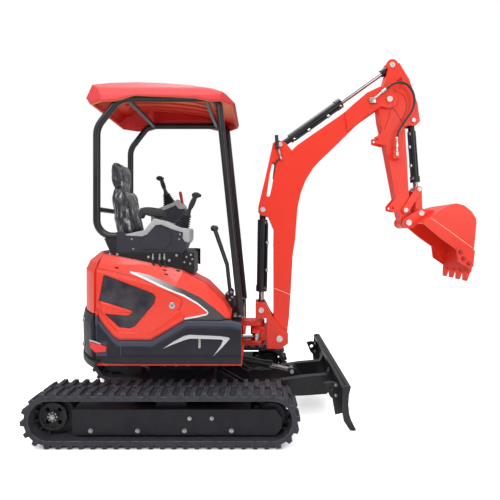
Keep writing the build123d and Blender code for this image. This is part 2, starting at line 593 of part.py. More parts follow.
right_stick = stick((-598, -315, BASE_TOP + 155), (-485, -315, BASE_TOP + 408), 58) - right_console
save(right_stick, "right_stick")
knob = (-718, 268, BASE_TOP + 469)
lever = rod((-690, 268, BASE_TOP + 330), knob, 7) + rod((-701, 268, BASE_TOP + 386), knob, 11)
lever = lever + Pos(*knob) * Sphere(11)
save(lever - left_console, "safety_lever")
left_stick = stick((-812, 315, BASE_TOP + 354), (-900, 315, BASE_TOP + 614), 58) - left_console
save(left_stick, "left_stick")
levers = block((-330, -215), (-110, 110), (FLOOR_TOP, FLOOR_TOP + 40))
for lever_y in (-60, 60):
    elbow = (-300, lever_y, FLOOR_TOP + 340)
    levers = levers + rod((-265, lever_y, FLOOR_TOP + 20), elbow, 10) + Pos(*elbow) * Sphere(10)
    levers = levers + rod(elbow, (-392, lever_y, FLOOR_TOP + 605), 10)
    levers = levers + Pos(-398, lever_y, FLOOR_TOP + 622) * Sphere(24)
save(levers, "travel_levers")

# Canopy: a bent tube hoop each side, cross bars, arched roof
hoop_path = above([(-955, 112), (-1166, 112)]) + [(-1166, ROOF_RAIL - 200), (-1010, ROOF_RAIL)]
hoop_path = hoop_path + [(-332, ROOF_RAIL), (-178, FLOOR_TOP + 20)]
hoop = tube([(x, HOOP_Y, z) for x, z in hoop_path], [110, 150, 120, 70], HOOP_R)
foot_front = block((-232, -172), (HOOP_Y - 45, HOOP_Y + 45), (FLOOR_TOP, FLOOR_TOP + 22))
foot_rear = plate(above([(-1104, 96), (-1010, 96), (-1010, 0), (-1062, 0)]), (HOOP_Y - 30, HOOP_Y + 30))
left_hoop = (foot_front + foot_rear + hoop) - left_console
right_hoop = mirrored(foot_front + foot_rear + hoop) - right_console
save(max(left_hoop.solids(), key=lambda part: part.volume), "hoop_left")
save(max(right_hoop.solids(), key=lambda part: part.volume), "hoop_right")
bars = rod((-1166, -HOOP_Y, BASE_TOP + 295), (-1166, HOOP_Y, BASE_TOP + 295), 18)
bars_list = [bars]
for bar_x in (-960, -420):
    bars_list.append(rod((bar_x, -HOOP_Y, ROOF_RAIL), (bar_x, HOOP_Y, ROOF_RAIL), 18))
hoops = mirrored(hoop) + hoop
bars_list = [max((bar - hoops).solids(), key=lambda s: s.volume) for bar in bars_list]
save(Compound(children=bars_list), "cross_bars")

roof_line = [(-1222, -33), (-1262, 20), (-1200, 97), (-1087, 119), (-908, 126), (-728, 118), (-548, 97)]
roof_line = roof_line + [(-368, 57), (-279, 25), (-222, -12), (-236, -33)]
roof_inner = [(-1205, -100), (-1205, -30), (-1238, 16), (-1188, 80), (-1083, 101), (-907, 108), (-730, 100)]
roof_inner = roof_inner + [(-552, 79), (-374, 40), (-290, 9), (-246, -14), (-250, -100)]
roof_across = [(-392, -33), (-392, 8), (-368, 66), (-306, 126)]
roof_across = roof_across + [(-y, z) for y, z in reversed(roof_across)]
inner_across = [(-376, -100), (-376, 4), (-355, 57), (-300, 108)]
inner_across = inner_across + [(-y, z) for y, z in reversed(inner_across)]
roof_plan = [(-1268, -290), (-1120, -395), (-312, -395), (-218, -275)]
roof_plan = roof_plan + [(x, -y) for x, y in reversed(roof_plan)]
inner_plan = [(-1250, -276), (-1112, -378), (-318, -378), (-238, -264)]
inner_plan = inner_plan + [(x, -y) for x, y in reversed(inner_plan)]


def on_rail(points):
    """Points with heights measured from the middle of the roof rail."""
    return [(first, ROOF_RAIL + height) for first, height in points]


def roof_form(side_view, front_view, plan):
    reach = plate(on_rail(side_view), (-450, 450)) & rib(on_rail(front_view), (-1300, -100))
    return reach & slab(plan, (ROOF_RAIL - 150, ROOF_RAIL + 150))


roof = roof_form(roof_line, roof_across, roof_plan) - roof_form(roof_inner, inner_across, inner_plan)
notch = [(-1060, -150), (-1027, -33), (-896, 5), (-488, -12), (-388, -33), (-360, -150)]
roof = roof - plate(on_rail(notch), (-460, 460))
# brackets that hold the roof on the cross bars
for bar_x, rise_to in ((-960, 112), (-420, 58)):
    for side in (-1, 1):
        foot = block(
            (bar_x - 16, bar_x + 16), (side * 250 - 20, side * 250 + 20), (ROOF_RAIL, ROOF_RAIL + rise_to)
        )
        roof = roof + (foot - pin((bar_x, ROOF_RAIL), (-300, 300), 18))
save(roof, "canopy_roof")

# Swing post: a barrel between the deck's lugs, side plates for the boom foot, ears for the boom cylinder
FOOT_PIN_R = 22.0
post_in = BOOM_HALF + PIN_SIDE + 2
post_plate = [(-80, 684), (-80, 798), (-6, 798), (43, 704), (120, 606), (166, 568), (166, 495)]
post_plate = post_plate + [(112, 456), (5, 456), (5, 684)]
post = pair(post_plate, (post_in, post_in + 30))
cylinder_ear = [(-80, 684), (-80, 798), (-6, 798), (43, 704), (43, 684)]
post = post + pair(cylinder_ear, (EYE_HALF + PIN_SIDE, post_in + 5))
between = (lug_low[1] + 3, lug_high[0] - 3)
post = post + upright(KING_X, 0, between, 54) + block((KING_X, 24), (-post_in - 5, post_in + 5), between)
fork_plan = [(-20, -50), (-100, -50), (-104, -136), (-46, -136)]
fork = slab(fork_plan, (SWING_Z - EYE_HALF - 17, SWING_Z + EYE_HALF + 17))
fork = fork - block((-140, 60), (-200, -66), (SWING_Z - EYE_HALF - PIN_SIDE, SWING_Z + EYE_HALF + PIN_SIDE))
post = post + fork
post = post - upright(KING_X, 0, (300, 900), king_r + RUN)
post = post + pin(BOOM_FOOT, (-post_in - 36, post_in + 36), FOOT_PIN_R)
save(post, "swing_post")
swing_from = (SWING_BASE[0], SWING_BASE[1], SWING_Z)
swing_to = (SWING_EYE[0], SWING_EYE[1], SWING_Z)
swing_barrel, swing_rod = cylinder(swing_from, swing_to, 32, 16, 390, 372, 14, 26, (0, 0, 1))
save(swing_barrel, "swing_cylinder_barrel")
save(swing_rod, "swing_cylinder_rod")

# Boom: bent box beam, rear bracket for two cylinders, fork for the arm
boom_line = [(59, 560), (59, 1208), (65, 1521), (83, 1702), (120, 1847), (168, 1931), (240, 1997)]
boom_line = boom_line + [(361, 2082), (554, 2214), (662, 2293), (728, 2205), (711, 2172), (566, 2028)]
boom_line = boom_line + [(421, 1889), (361, 1823), (301, 1726), (264, 1629), (240, 1521), (222, 1280)]
boom_line = boom_line + [(204, 1162), (189, 896), (176, 690), (160, 560)]
boom = plate(boom_line, (-BOOM_HALF, BOOM_HALF)) + pin(BOOM_FOOT, (-BOOM_HALF, BOOM_HALF), 62)
bracket = [(53, 2010), (85, 2036), (150, 2014), (200, 1950), (150, 1860), (95, 1700), (80, 1330), (60, 1352)]
bracket = bracket + [(18, 1450), (-38, 1462), (-60, 1490), (-58, 1530), (-1, 1766)]
slot = [(52, 1882), (76, 1850), (50, 1700), (30, 1608), (4, 1600), (10, 1650), (28, 1770)]
bracket_y = (EYE_HALF + PIN_SIDE, BOOM_HALF)
boom = boom + pair(bracket, bracket_y) - plate(slot, (-BOOM_HALF - 5, BOOM_HALF + 5), 8)
boom = boom - pin(ARM_BASE_PIN, (-EYE_HALF - PIN_SIDE, EYE_HALF + PIN_SIDE), 52)
fork_plate = [(620, 2100), (747, 2202), (868, 2286), (932, 2272), (980, 2292), (998, 2340), (978, 2392)]
fork_plate = fork_plate + [(915, 2440), (860, 2434), (765, 2389), (655, 2296), (600, 2245)]
boom = boom + pair(fork_plate, (BOOM_HALF - 2, BOOM_HALF + 18))
boom = boom + pin(ARM_PIN, (-BOOM_HALF - 30, BOOM_HALF + 30), PIN_R)
boom = boom + pin(ARM_BASE_PIN, (-BOOM_HALF - 8, BOOM_HALF + 8), 16) + pin(
    BOOM_TOP_PIN, (-BOOM_HALF - 8, BOOM_HALF + 8), 18
)
boom = boom - pin(BOOM_FOOT, (-BOOM_HALF - 5, BOOM_HALF + 5), FOOT_PIN_R + RUN)
save(boom, "boom")
boom_barrel, boom_rod = cylinder(flat(BOOM_TOP_PIN), flat(BOOM_LOW_PIN), 38, 20, 628, 640, 18, 32, (0, 1, 0))
save(boom_barrel, "boom_cylinder_barrel")
save(boom_rod, "boom_cylinder_rod")
arm_barrel, arm_rod = cylinder(
    flat(ARM_BASE_PIN), flat(ARM_ROD_PIN), 35, 18, 580, 600, 16, 30, (0, 1, 0), 100.0
)
save(arm_barrel, "arm_cylinder_barrel")
save(arm_rod, "arm_cylinder_rod")

# Arm: box beam, upper ears for two cylinders, lugs with spare pin holes
arm_line = [(925, 2612), (937, 2594), (912, 2497), (856, 2310), (872, 2180), (912, 2010), (1004, 1525)]
arm_line = arm_line + [(1024, 1440), (1040, 1404), (1100, 1404), (1104, 1500), (1086, 1681), (1076, 1888)]
arm_line = arm_line + [(1059, 2148), (1144, 2148), (1176, 2180), (1156, 2314), (1095, 2497), (1018, 2625)]
arm = plate(arm_line, (-ARM_HALF, ARM_HALF)) + pin(ARM_ROD_PIN, (-ARM_HALF, ARM_HALF), 44)
arm = arm + pin(BUCKET_PIN, (-ARM_HALF, ARM_HALF), 42)
rod_room = [(850, 2720), (850, 2540), (985, 2520), (1040, 2470), (1130, 2440), (1130, 2720)]
base_room = [(1076, 2300), (1076, 2120), (1200, 2120), (1200, 2300)]
eye_gap = (-EYE_HALF - PIN_SIDE, EYE_HALF + PIN_SIDE)
arm = arm - plate(rod_room, eye_gap) - plate(base_room, eye_gap)
arm = arm - plate([(985, 2478), (1032, 2520), (1052, 2440)], (-80, 80), 6)
LUG_PIN_R = 10.0
UPPER_LUG = (850.0, 2042.0)
LOWER_LUG = (968.0, 1518.0)
upper_lug = [(830, 2060), (862, 2068), (910, 2130), (925, 2010), (905, 2000), (832, 2020)]
lower_lug = [(944, 1532), (1000, 1600), (1015, 1490), (985, 1488), (946, 1500)]
arm = arm + pair(upper_lug, (ARM_HALF - 14, ARM_HALF)) + pair(lower_lug, (ARM_HALF - 14, ARM_HALF))
for at in (UPPER_LUG, LOWER_LUG):
    arm = arm - pin(at, (-80, 80), LUG_PIN_R)
# hose fittings on both side plates, and the hoses that come over from the boom
HOSE_R = 8.0
HOSE_SEAT = 0.92
HOSE_Y = BOOM_HALF + 18 + 7 + HOSE_R
hose_line = [(893, 2404), (950, 2452), (1030, 2466), (1098, 2416), (1122, 2326), (1098, 2240), (1030, 2150)]
hose_line = hose_line + [(985, 2075), (982, 2019)]
hose_end = hose_line[-1]
for side in (-1, 1):
    fitting_y = (side * ARM_HALF, side * (HOSE_Y + HOSE_R))
    arm = arm + block((957, 1010), (min(fitting_y), max(fitting_y)), (1886, 1942))
    arm = arm + rod((985, side * HOSE_Y, 1930), (hose_end[0], side * HOSE_Y, hose_end[1] - HOSE_SEAT), 7)
arm = arm - pin(ARM_PIN, (-80, 80), PIN_R + RUN) - pin(BUCKET_PIN, (-80, 80), BUCKET_PIN_R + RUN)
arm = arm + pin(TIP_PIN, (-ARM_HALF - 22, ARM_HALF + 22), 16)
arm = arm + pin(BUCKET_BASE_PIN, (-ARM_HALF - 8, ARM_HALF + 8), 15)
save(arm, "arm")


def bends(points, share=0.45):
    """The largest bend that each corner of a hose's line has room for."""
    radii = []
    for first, corner, second in zip(points[:-2], points[1:-1], points[2:]):
        into = Vector(*corner) - Vector(*first)
        out = Vector(*second) - Vector(*corner)
        half_turn = radians(into.get_angle(out) / 2)
        radii.append(share * min(into.length, out.length) / tan(half_turn))
    return radii


hose_path = [(x, -HOSE_Y, z) for x, z in hose_line]
hose = tube(hose_path, bends(hose_path), HOSE_R)
print("hose radii", [round(radius) for radius in bends(hose_path)])
save(Compound(children=[hose, mirrored(hose)]), "arm_hoses")
bucket_barrel, bucket_rod = cylinder(
    flat(BUCKET_BASE_PIN), flat(LINK_PIN), 31, 17, 468, 432, 15, 28, (0, 1, 0)
)
save(bucket_barrel, "bucket_cylinder_barrel")
save(bucket_rod, "bucket_cylinder_rod")


# Links: tipping links outside the arm, one link from the rod's eye to the bucket
def strap(first, second, y, radius, end_radius):
    way = Vector(second[0] - first[0], second[1] - first[1])
    side = Vector(-way.Y, way.X).normalized()
    near = side * radius
    far = side * end_radius
    corners = [(first[0] + near.X, first[1] + near.Y), (second[0] + far.X, second[1] + far.Y)]
    corners = corners + [(second[0] - far.X, second[1] - far.Y), (first[0] - near.X, first[1] - near.Y)]
    return plate(corners, y) + pin(first, y, radius) + pin(second, y, end_radius)


tip_y = (ARM_HALF + PIN_SIDE, ARM_HALF + PIN_SIDE + 13)
links = strap(TIP_PIN, LINK_PIN, tip_y, 27, 23) + strap(TIP_PIN, LINK_PIN, (-tip_y[0], -tip_y[1]), 27, 23)
links = links - pin(TIP_PIN, (-90, 90), 16 + RUN)
head_y = tip_y[1] + PIN_HEAD
links = links + pin(LINK_PIN, (EYE_HALF + PIN_SIDE, head_y), 15)
links = links + pin(LINK_PIN, (-EYE_HALF - PIN_SIDE, -head_y), 15)
save(Compound(children=list(links.solids())), "tipping_links")
h_y = (EYE_HALF + PIN_SIDE, ARM_HALF)
h_link = strap(LINK_PIN, BUCKET_LINK_PIN, h_y, 26, 26)
h_link = h_link + strap(LINK_PIN, BUCKET_LINK_PIN, (-h_y[0], -h_y[1]), 26, 26)
h_link = h_link + pin(BUCKET_LINK_PIN, (-h_y[1], h_y[1]), 24)
h_link = h_link - pin(LINK_PIN, (-90, 90), 15 + RUN)
save(h_link, "bucket_link")

# Bucket: curled plate between two cheeks, lip with four teeth, side cutters, ears
outline = [(1130, 1404), (1190, 1445), (1267, 1495), (1323, 1528), (1378, 1542), (1434, 1528), (1489, 1483)]
outline = outline + [(1520, 1433), (1523, 1400), (1512, 1278), (1503, 1195), (1490, 1085), (1468, 1085)]
outline = outline + [(1378, 1211), (1267, 1289)]
hollow = [(1095, 1362), (1196, 1431), (1274, 1481), (1328, 1513), (1378, 1527), (1428, 1514), (1477, 1474)]
hollow = hollow + [(1505, 1429), (1508, 1400), (1497, 1279), (1488, 1196), (1470, 1050), (1300, 1050)]
bucket = plate(outline, (-BUCKET_HALF, BUCKET_HALF)) - plate(hollow, (-BUCKET_HALF + 14, BUCKET_HALF - 14))
cutter = [(1376, 1212), (1388, 1122), (1470, 1064), (1494, 1085), (1506, 1200), (1430, 1222)]
bucket = bucket + pair(cutter, (BUCKET_HALF - 2, BUCKET_HALF + 12))
lip = [(1470, 1095), (1494, 1095), (1484, 1040), (1470, 1034)]
bucket = bucket + plate(lip, (-BUCKET_HALF, BUCKET_HALF))
tooth = [(1466, 1100), (1504, 1130), (1496, 1060), (1466, 976), (1456, 976), (1458, 1040)]
for number in range(4):
    tooth_y = -150 + 100 * number
    bucket = bucket + plate(tooth, (tooth_y - 26, tooth_y + 26))
ears = [(1040, 1380), (1104, 1366), (1150, 1400), (1262, 1478), (1266, 1497), (1214, 1500)]
ears = ears + [(1169, 1510), (1135, 1494), (1050, 1440)]
ear_y = (head_y + MOVE, head_y + MOVE + 18)
bucket = bucket + pair(ears, ear_y)
bucket = bucket + pin(BUCKET_PIN, ear_y, 42) + pin(BUCKET_PIN, (-ear_y[0], -ear_y[1]), 42)
bucket = bucket + pin(BUCKET_LINK_PIN, ear_y, 36) + pin(BUCKET_LINK_PIN, (-ear_y[0], -ear_y[1]), 36)
inside = plate(hollow, (-BUCKET_HALF + 14, BUCKET_HALF - 14))
bucket = bucket - (inside & block((1130, 1540), (-200, 200), (1000, 1600)))
bucket = bucket + pin(BUCKET_PIN, (-ear_y[1] - 8, ear_y[1] + 8), BUCKET_PIN_R)
save(bucket, "bucket")
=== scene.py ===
import math

import bmesh
import bpy
from mathutils import Matrix, Vector


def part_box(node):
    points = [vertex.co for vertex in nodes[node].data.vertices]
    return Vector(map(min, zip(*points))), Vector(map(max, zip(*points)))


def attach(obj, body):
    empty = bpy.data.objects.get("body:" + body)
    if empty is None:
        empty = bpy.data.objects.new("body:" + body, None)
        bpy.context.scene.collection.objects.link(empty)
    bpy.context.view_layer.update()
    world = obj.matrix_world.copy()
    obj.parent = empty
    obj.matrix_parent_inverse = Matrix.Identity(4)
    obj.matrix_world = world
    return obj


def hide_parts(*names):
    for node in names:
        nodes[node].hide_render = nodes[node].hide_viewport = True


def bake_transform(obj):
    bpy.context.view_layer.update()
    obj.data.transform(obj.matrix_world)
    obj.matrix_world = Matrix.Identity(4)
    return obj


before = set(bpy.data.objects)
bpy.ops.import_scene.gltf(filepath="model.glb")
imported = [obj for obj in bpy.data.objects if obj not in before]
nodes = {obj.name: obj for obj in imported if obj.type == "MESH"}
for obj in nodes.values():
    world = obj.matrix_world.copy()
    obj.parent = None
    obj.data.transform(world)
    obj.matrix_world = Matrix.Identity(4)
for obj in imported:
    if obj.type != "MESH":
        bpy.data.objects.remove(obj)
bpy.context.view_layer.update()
scene = bpy.context.scene
scene.view_settings.view_transform = "Standard"

# Camera: a level side view of the right hand side, from about three metres,
# with the slight framing offset of the photograph.
camera = bpy.data.cameras.new("camera")
camera.sensor_width = 36.0
camera.lens = 27.36
camera.shift_x = -0.016
camera.shift_y = -0.036
viewpoint = bpy.data.objects.new("camera", camera)
viewpoint.location = (-0.061, -2.95, 1.334)
viewpoint.rotation_euler = (math.pi / 2, 0, 0)
scene.collection.objects.link(viewpoint)
scene.camera = viewpoint


# Arm hoses: two black hydraulic hoses that come off the boom, loop over the arm
# pin and end on the arm's side plates, held by crimped ferrules at both ends.
def link_or_set(tree, source, socket):
    if isinstance(source, bpy.types.NodeSocket):
        tree.links.new(source, socket)
    elif isinstance(source, (tuple, list)):
        socket.default_value = (*source, 1.0)
    else:
        socket.default_value = source


def mix_colours(tree, share, first, second):
    mix = tree.nodes.new("ShaderNodeMix")
    mix.data_type = "RGBA"
    link_or_set(tree, share, mix.inputs[0])
    link_or_set(tree, first, mix.inputs[6])
    link_or_set(tree, second, mix.inputs[7])
    return mix.outputs[2]


def sums(tree, operation, first, second=0.0, clamp=False):
    node = tree.nodes.new("ShaderNodeMath")
    node.operation = operation
    node.use_clamp = clamp
    link_or_set(tree, first, node.inputs[0])
    link_or_set(tree, second, node.inputs[1])
    return node.outputs[0]


def remap(tree, value, low, high, to_low=0.0, to_high=1.0):
    node = tree.nodes.new("ShaderNodeMapRange")
    tree.links.new(value, node.inputs[0])
    for place, number in enumerate((low, high, to_low, to_high)):
        node.inputs[place + 1].default_value = number
    return node.outputs[0]


def effect(name, inputs, outputs):
    """An empty shader node group with float inputs and the named outputs."""
    group = bpy.data.node_groups.new(name, "ShaderNodeTree")
    for label in inputs:
        group.interface.new_socket(label, in_out="INPUT", socket_type="NodeSocketFloat")
    for label, kind in outputs:
        group.interface.new_socket(label, in_out="OUTPUT", socket_type=kind)
    return group, group.nodes.new("NodeGroupInput"), group.nodes.new("NodeGroupOutput")


def noise_in(tree, scale, detail=3.0, stretch=None):
    """Noise on Object coordinates; stretch is the pattern's scale along x, y and z."""
    place = tree.nodes.new("ShaderNodeTexCoord").outputs["Object"]
    if stretch:
        mapping = tree.nodes.new("ShaderNodeMapping")
        tree.links.new(place, mapping.inputs["Vector"])
        mapping.inputs["Scale"].default_value = stretch
        place = mapping.outputs["Vector"]
    noise = tree.nodes.new("ShaderNodeTexNoise")
    tree.links.new(place, noise.inputs["Vector"])
    link_or_set(tree, scale, noise.inputs["Scale"])
    noise.inputs["Detail"].default_value = detail
    return noise.outputs[0]


def axes_of(tree, kind="Object"):
    """The x, y and z of a point, by name."""
    split = tree.nodes.new("ShaderNodeSeparateXYZ")
    tree.links.new(tree.nodes.new("ShaderNodeTexCoord").outputs[kind], split.inputs[0])
    return split.outputs


mottle, mottle_in, mottle_out = effect("mottle", ["Scale"], [("Value", "NodeSocketFloat")])
mottle.links.new(noise_in(mottle, mottle_in.outputs["Scale"], 4.0), mottle_out.inputs["Value"])

# Rounded edges: a bevelled normal, and a broken mask along the edges for their paler tone, rubbed on some
# finishes and a painted highlight on others.
edges, edges_in, edges_out = effect(
    "rounded edges", ["Radius"], [("Rubbing and painted highlight", "NodeSocketFloat"), ("Normal", "NodeSocketVector")]
)
rounding = edges.nodes.new("ShaderNodeBevel")
rounding.samples = 4
edges.links.new(edges_in.outputs["Radius"], rounding.inputs["Radius"])
facing = edges.nodes.new("ShaderNodeNewGeometry")
agree = edges.nodes.new("ShaderNodeVectorMath")
agree.operation = "DOT_PRODUCT"
edges.links.new(rounding.outputs["Normal"], agree.inputs[0])
edges.links.new(facing.outputs["Normal"], agree.inputs[1])
on_edge = remap(edges, agree.outputs["Value"], 0.995, 0.88)
broken = remap(edges, noise_in(edges, 34.0, 5.0), 0.35, 0.62)
edges.links.new(sums(edges, "MULTIPLY", on_edge, broken), edges_out.inputs["Rubbing and painted highlight"])
edges.links.new(rounding.outputs["Normal"], edges_out.inputs["Normal"])

dust, dust_in, dust_out = effect("settled dust", ["Height"], [("Mask", "NodeSocketFloat")])
risen = sums(dust, "DIVIDE", axes_of(dust)["Z"], dust_in.outputs["Height"])
low_down = sums(dust, "SUBTRACT", 1.0, risen, True)
patches = remap(dust, noise_in(dust, 9.0, 6.0), 0.38, 0.7)
dust.links.new(sums(dust, "MULTIPLY", low_down, patches), dust_out.inputs["Mask"])


def placed(tree, group, label, value):
    node = tree.nodes.new("ShaderNodeGroup")
    node.node_tree = group
    node.inputs[label].default_value = value
    return node


def finish(name, tone, shade, rough, metal=0.0, coat=0.0, patch=6.0, grain=420.0, depth=0.02, edge=0.003,
           rubbed_and_painted_highlight_tone=(0.3, 0.3, 0.3), rubbing_and_painted_highlight=0.0, dusty=0.0, dust_to=0.5, dust_tone=(0.2, 0.18, 0.155), shine=0.5):
    """A surface with a mottled tone, fine grain, rounded edges paler from rubbing and from a painted highlight,
    and settled dust.
    """
    material = bpy.data.materials.new(name)
    material.use_nodes = True
    tree = material.node_tree
    shader = tree.nodes["Principled BSDF"]
    cloud = placed(tree, mottle, "Scale", patch).outputs["Value"]
    colour = mix_colours(tree, remap(tree, cloud, 0.3, 0.7), tone, shade)
    rim = placed(tree, edges, "Radius", edge)
    if rubbing_and_painted_highlight:
        colour = mix_colours(tree, sums(tree, "MULTIPLY", rim.outputs["Rubbing and painted highlight"], rubbing_and_painted_highlight), colour, rubbed_and_painted_highlight_tone)
    rough_now = remap(tree, cloud, 0.25, 0.75, max(rough - 0.05, 0.02), rough + 0.07)
    if dusty:
        film = sums(tree, "MULTIPLY", placed(tree, dust, "Height", dust_to).outputs["Mask"], dusty)
        colour = mix_colours(tree, film, colour, dust_tone)
        rough_now = sums(tree, "ADD", rough_now, sums(tree, "MULTIPLY", film, 0.35), True)
    tree.links.new(colour, shader.inputs["Base Color"])
    tree.links.new(rough_now, shader.inputs["Roughness"])
    shader.inputs["Metallic"].default_value = metal
    shader.inputs["Specular IOR Level"].default_value = shine
    shader.inputs["Coat Weight"].default_value = coat
    shader.inputs["Coat Roughness"].default_value = 0.08
    bump = tree.nodes.new("ShaderNodeBump")
    bump.inputs["Strength"].default_value = depth
    bump.inputs["Distance"].default_value = 0.002
    tree.links.new(placed(tree, mottle, "Scale", grain).outputs["Value"], bump.inputs["Height"])
    tree.links.new(rim.outputs["Normal"], bump.inputs["Normal"])
    tree.links.new(bump.outputs["Normal"], shader.inputs["Normal"])
    return material


def shade_by_angle(mesh, limit=0.6):
    work = bmesh.new()
    work.from_mesh(mesh)
    for face in work.faces:
        face.smooth = True
    for edge in work.edges:
        edge.smooth = edge.calc_face_angle(0.0) < limit
    work.to_mesh(mesh)
    work.free()


def piece(name, work, material, body):
    """Closes a bmesh into an object that rides on a body."""
    bmesh.ops.remove_doubles(work, verts=work.verts, dist=0.00002)
    bmesh.ops.recalc_face_normals(work, faces=work.faces)
    mesh = bpy.data.meshes.new(name)
    work.to_mesh(mesh)
    work.free()
    shade_by_angle(mesh)
    mesh.materials.append(material)
    thing = bpy.data.objects.new(name, mesh)
    scene.collection.objects.link(thing)
    if body:
        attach(thing, body)
    return thing


def routed(name, points, radius, material, body, rounds=3):
    """A round tube along a smooth NURBS line through its control points."""
    line = bpy.data.curves.new(name, "CURVE")
    line.dimensions = "3D"
    run = line.splines.new("NURBS")
    run.points.add(len(points) - 1)
    for knot, point in zip(run.points, points):
        knot.co = (*point, 1.0)
    run.order_u = 3
    run.use_endpoint_u = True
    line.resolution_u = 6
    line.bevel_depth = radius
    line.bevel_resolution = rounds
    line.use_fill_caps = True
    route = bpy.data.objects.new(name + "_route", line)
    scene.collection.objects.link(route)
    mesh = bpy.data.meshes.new_from_object(route)
    bpy.data.objects.remove(route)
    bpy.data.curves.remove(line)
    mesh.name = name
    mesh.materials.clear()
    work = bmesh.new()
    work.from_mesh(mesh)
    bpy.data.meshes.remove(mesh)
    return piece(name, work, material, body)


def turned(work, place, profile, steps=24):
    """A (radius, height) profile spun into a round part and put in place."""
    line = [work.verts.new((radius, 0.0, height)) for radius, height in profile]
    edges_now = [work.edges.new(two) for two in zip(line[:-1], line[1:])]
    bmesh.ops.spin(work, geom=line + edges_now, cent=(0, 0, 0), axis=(0, 0, 1), angle=math.tau, steps=steps,
                   use_merge=True, use_duplicate=False)
    verts = set(line)
    seen = list(line)
    while seen:
        vert = seen.pop()
        for edge in vert.link_edges:
            other = edge.other_vert(vert)
            if other not in verts:
                verts.add(other)
                seen.append(other)
    bmesh.ops.transform(work, matrix=place, verts=list(verts))


def towards(start, way):
    """The place of a part that stands on start and points along way."""
    turn = Vector((0, 0, 1)).rotation_difference(Vector(way)).to_matrix().to_4x4()
    return Matrix.Translation(Vector(start)) @ turn


def block(work, centre, size, turn=None):
    """A brick of the given size about its centre."""
    bmesh.ops.create_cube(work, size=1.0, matrix=Matrix.LocRotScale(Vector(centre), turn, Vector(size)))


def dress(material, *names):
    for name in names:
        for holder in nodes[name].material_slots:
            holder.material = material


hose_rubber = finish("hose_rubber", (0.012, 0.012, 0.013), (0.02, 0.02, 0.021), 0.5, grain=260.0, depth=0.12,
                     edge=0.001, patch=30.0)
bright_steel = finish("bright_steel", (0.62, 0.62, 0.6), (0.5, 0.5, 0.49), 0.28, metal=1.0, grain=500.0,
                      depth=0.03, edge=0.001, patch=18.0)
SIDES = ((-1, "right"), (1, "left"))
hose_line = [(0.893, 2.404), (0.950, 2.452), (1.030, 2.466), (1.098, 2.416), (1.122, 2.326), (1.098, 2.240)]
hose_line += [(1.030, 2.150), (0.985, 2.075), (0.982, 2.019)]
for side, label in SIDES:
    y = 0.09 * side
    hose = routed("arm_hose_" + label, [(x, y, z) for x, z in hose_line], 0.008, hose_rubber, None, 4)
    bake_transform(hose)
    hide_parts("arm_hoses")
    crimp = [(0.0001, 0.0), (0.011, 0.0), (0.0115, 0.004), (0.0115, 0.018), (0.0095, 0.02), (0.0095, 0.022)]
    crimp += [(0.0115, 0.024), (0.0115, 0.036), (0.0001, 0.037)]
    work = bmesh.new()
    turned(work, towards((0.872, y, 2.3865), (0.057, 0, 0.048)), crimp, 16)
    piece("boom_ferrule_" + label, work, bright_steel, "boom")
    work = bmesh.new()
    turned(work, towards((0.9825, y, 2.012), (0.0, 0, 1)), crimp, 16)
    turned(work, towards((0.9825, y, 1.905), (0, 0, 1)),
           [(0.0001, 0.0), (0.017, 0.0), (0.017, 0.030), (0.011, 0.034), (0.011, 0.062), (0.015, 0.064),
            (0.015, 0.088), (0.011, 0.090), (0.011, 0.106), (0.0001, 0.107)], 6)
    piece("arm_ferrule_" + label, work, bright_steel, "arm")
    routed("boom_steel_line_" + label, [(0.800, y, 2.325), (0.812, y, 2.337), (0.848, y, 2.366),
                                        (0.876, y, 2.390)],
           0.007, bright_steel, "boom")
    work = bmesh.new()
    block(work, (0.802, side * 0.0865, 2.325), (0.046, 0.023, 0.04))
    bmesh.ops.bevel(work, geom=work.edges, offset=0.003, affect="EDGES", segments=2, profile=0.5, material=-1)
    piece("boom_hose_block_" + label, work, bright_steel, "boom")

# Rubber tracks: a moulded belt with two rows of lugs; steel guide horns are
# cast into its inner face and run beside the idler and the sprocket.
# The pale bluish tone on the lugs' edges is partly rubbed dust and partly a painted highlight.
dress(finish("track_rubber", (0.032, 0.033, 0.042), (0.05, 0.051, 0.062), 0.7, patch=22.0, grain=300.0,
             depth=0.22, edge=0.006, rubbed_and_painted_highlight_tone=(0.24, 0.245, 0.28), rubbing_and_painted_highlight=1.0, shine=0.25), "track_left", "track_right")
black_steel = finish("black_steel", (0.010, 0.0095, 0.015), (0.015, 0.0145, 0.021), 0.42, grain=180.0, depth=0.05,
                     edge=0.005, rubbed_and_painted_highlight_tone=(0.12, 0.12, 0.14), rubbing_and_painted_highlight=0.5, dusty=0.06, dust_to=0.5, shine=0.22)
wheel_rear, wheel_front, wheel_z, track_y = -1.352, 0.028, 0.172, 0.505
horn_r = 0.122 - 0.011
for side, label in SIDES:
    work = bmesh.new()
    horn_at = []
    for number in range(19):
        horn_at.append((wheel_rear + 0.03 + 0.0735 * number, wheel_z + horn_r, 0.0))
    for number in range(6):
        turn = math.pi * (number + 0.5) / 6
        out, rise = horn_r * math.sin(turn), horn_r * math.cos(turn)
        horn_at.append((wheel_rear - out, wheel_z + rise, -turn))
        horn_at.append((wheel_front + out, wheel_z + rise, turn))
    for x, z, turn in horn_at:
        for across in (0.038, -0.038):
            place = Matrix.Translation((x, side * track_y + across, z)) @ Matrix.Rotation(turn, 4, "Y")
            bmesh.ops.create_cone(work, cap_ends=True, segments=4, radius1=0.008, radius2=0.019, depth=0.022,
                                  matrix=place @ Matrix.Rotation(math.pi / 4, 4, "Z"))
    piece("track_horns_" + label, work, black_steel, "undercarriage")


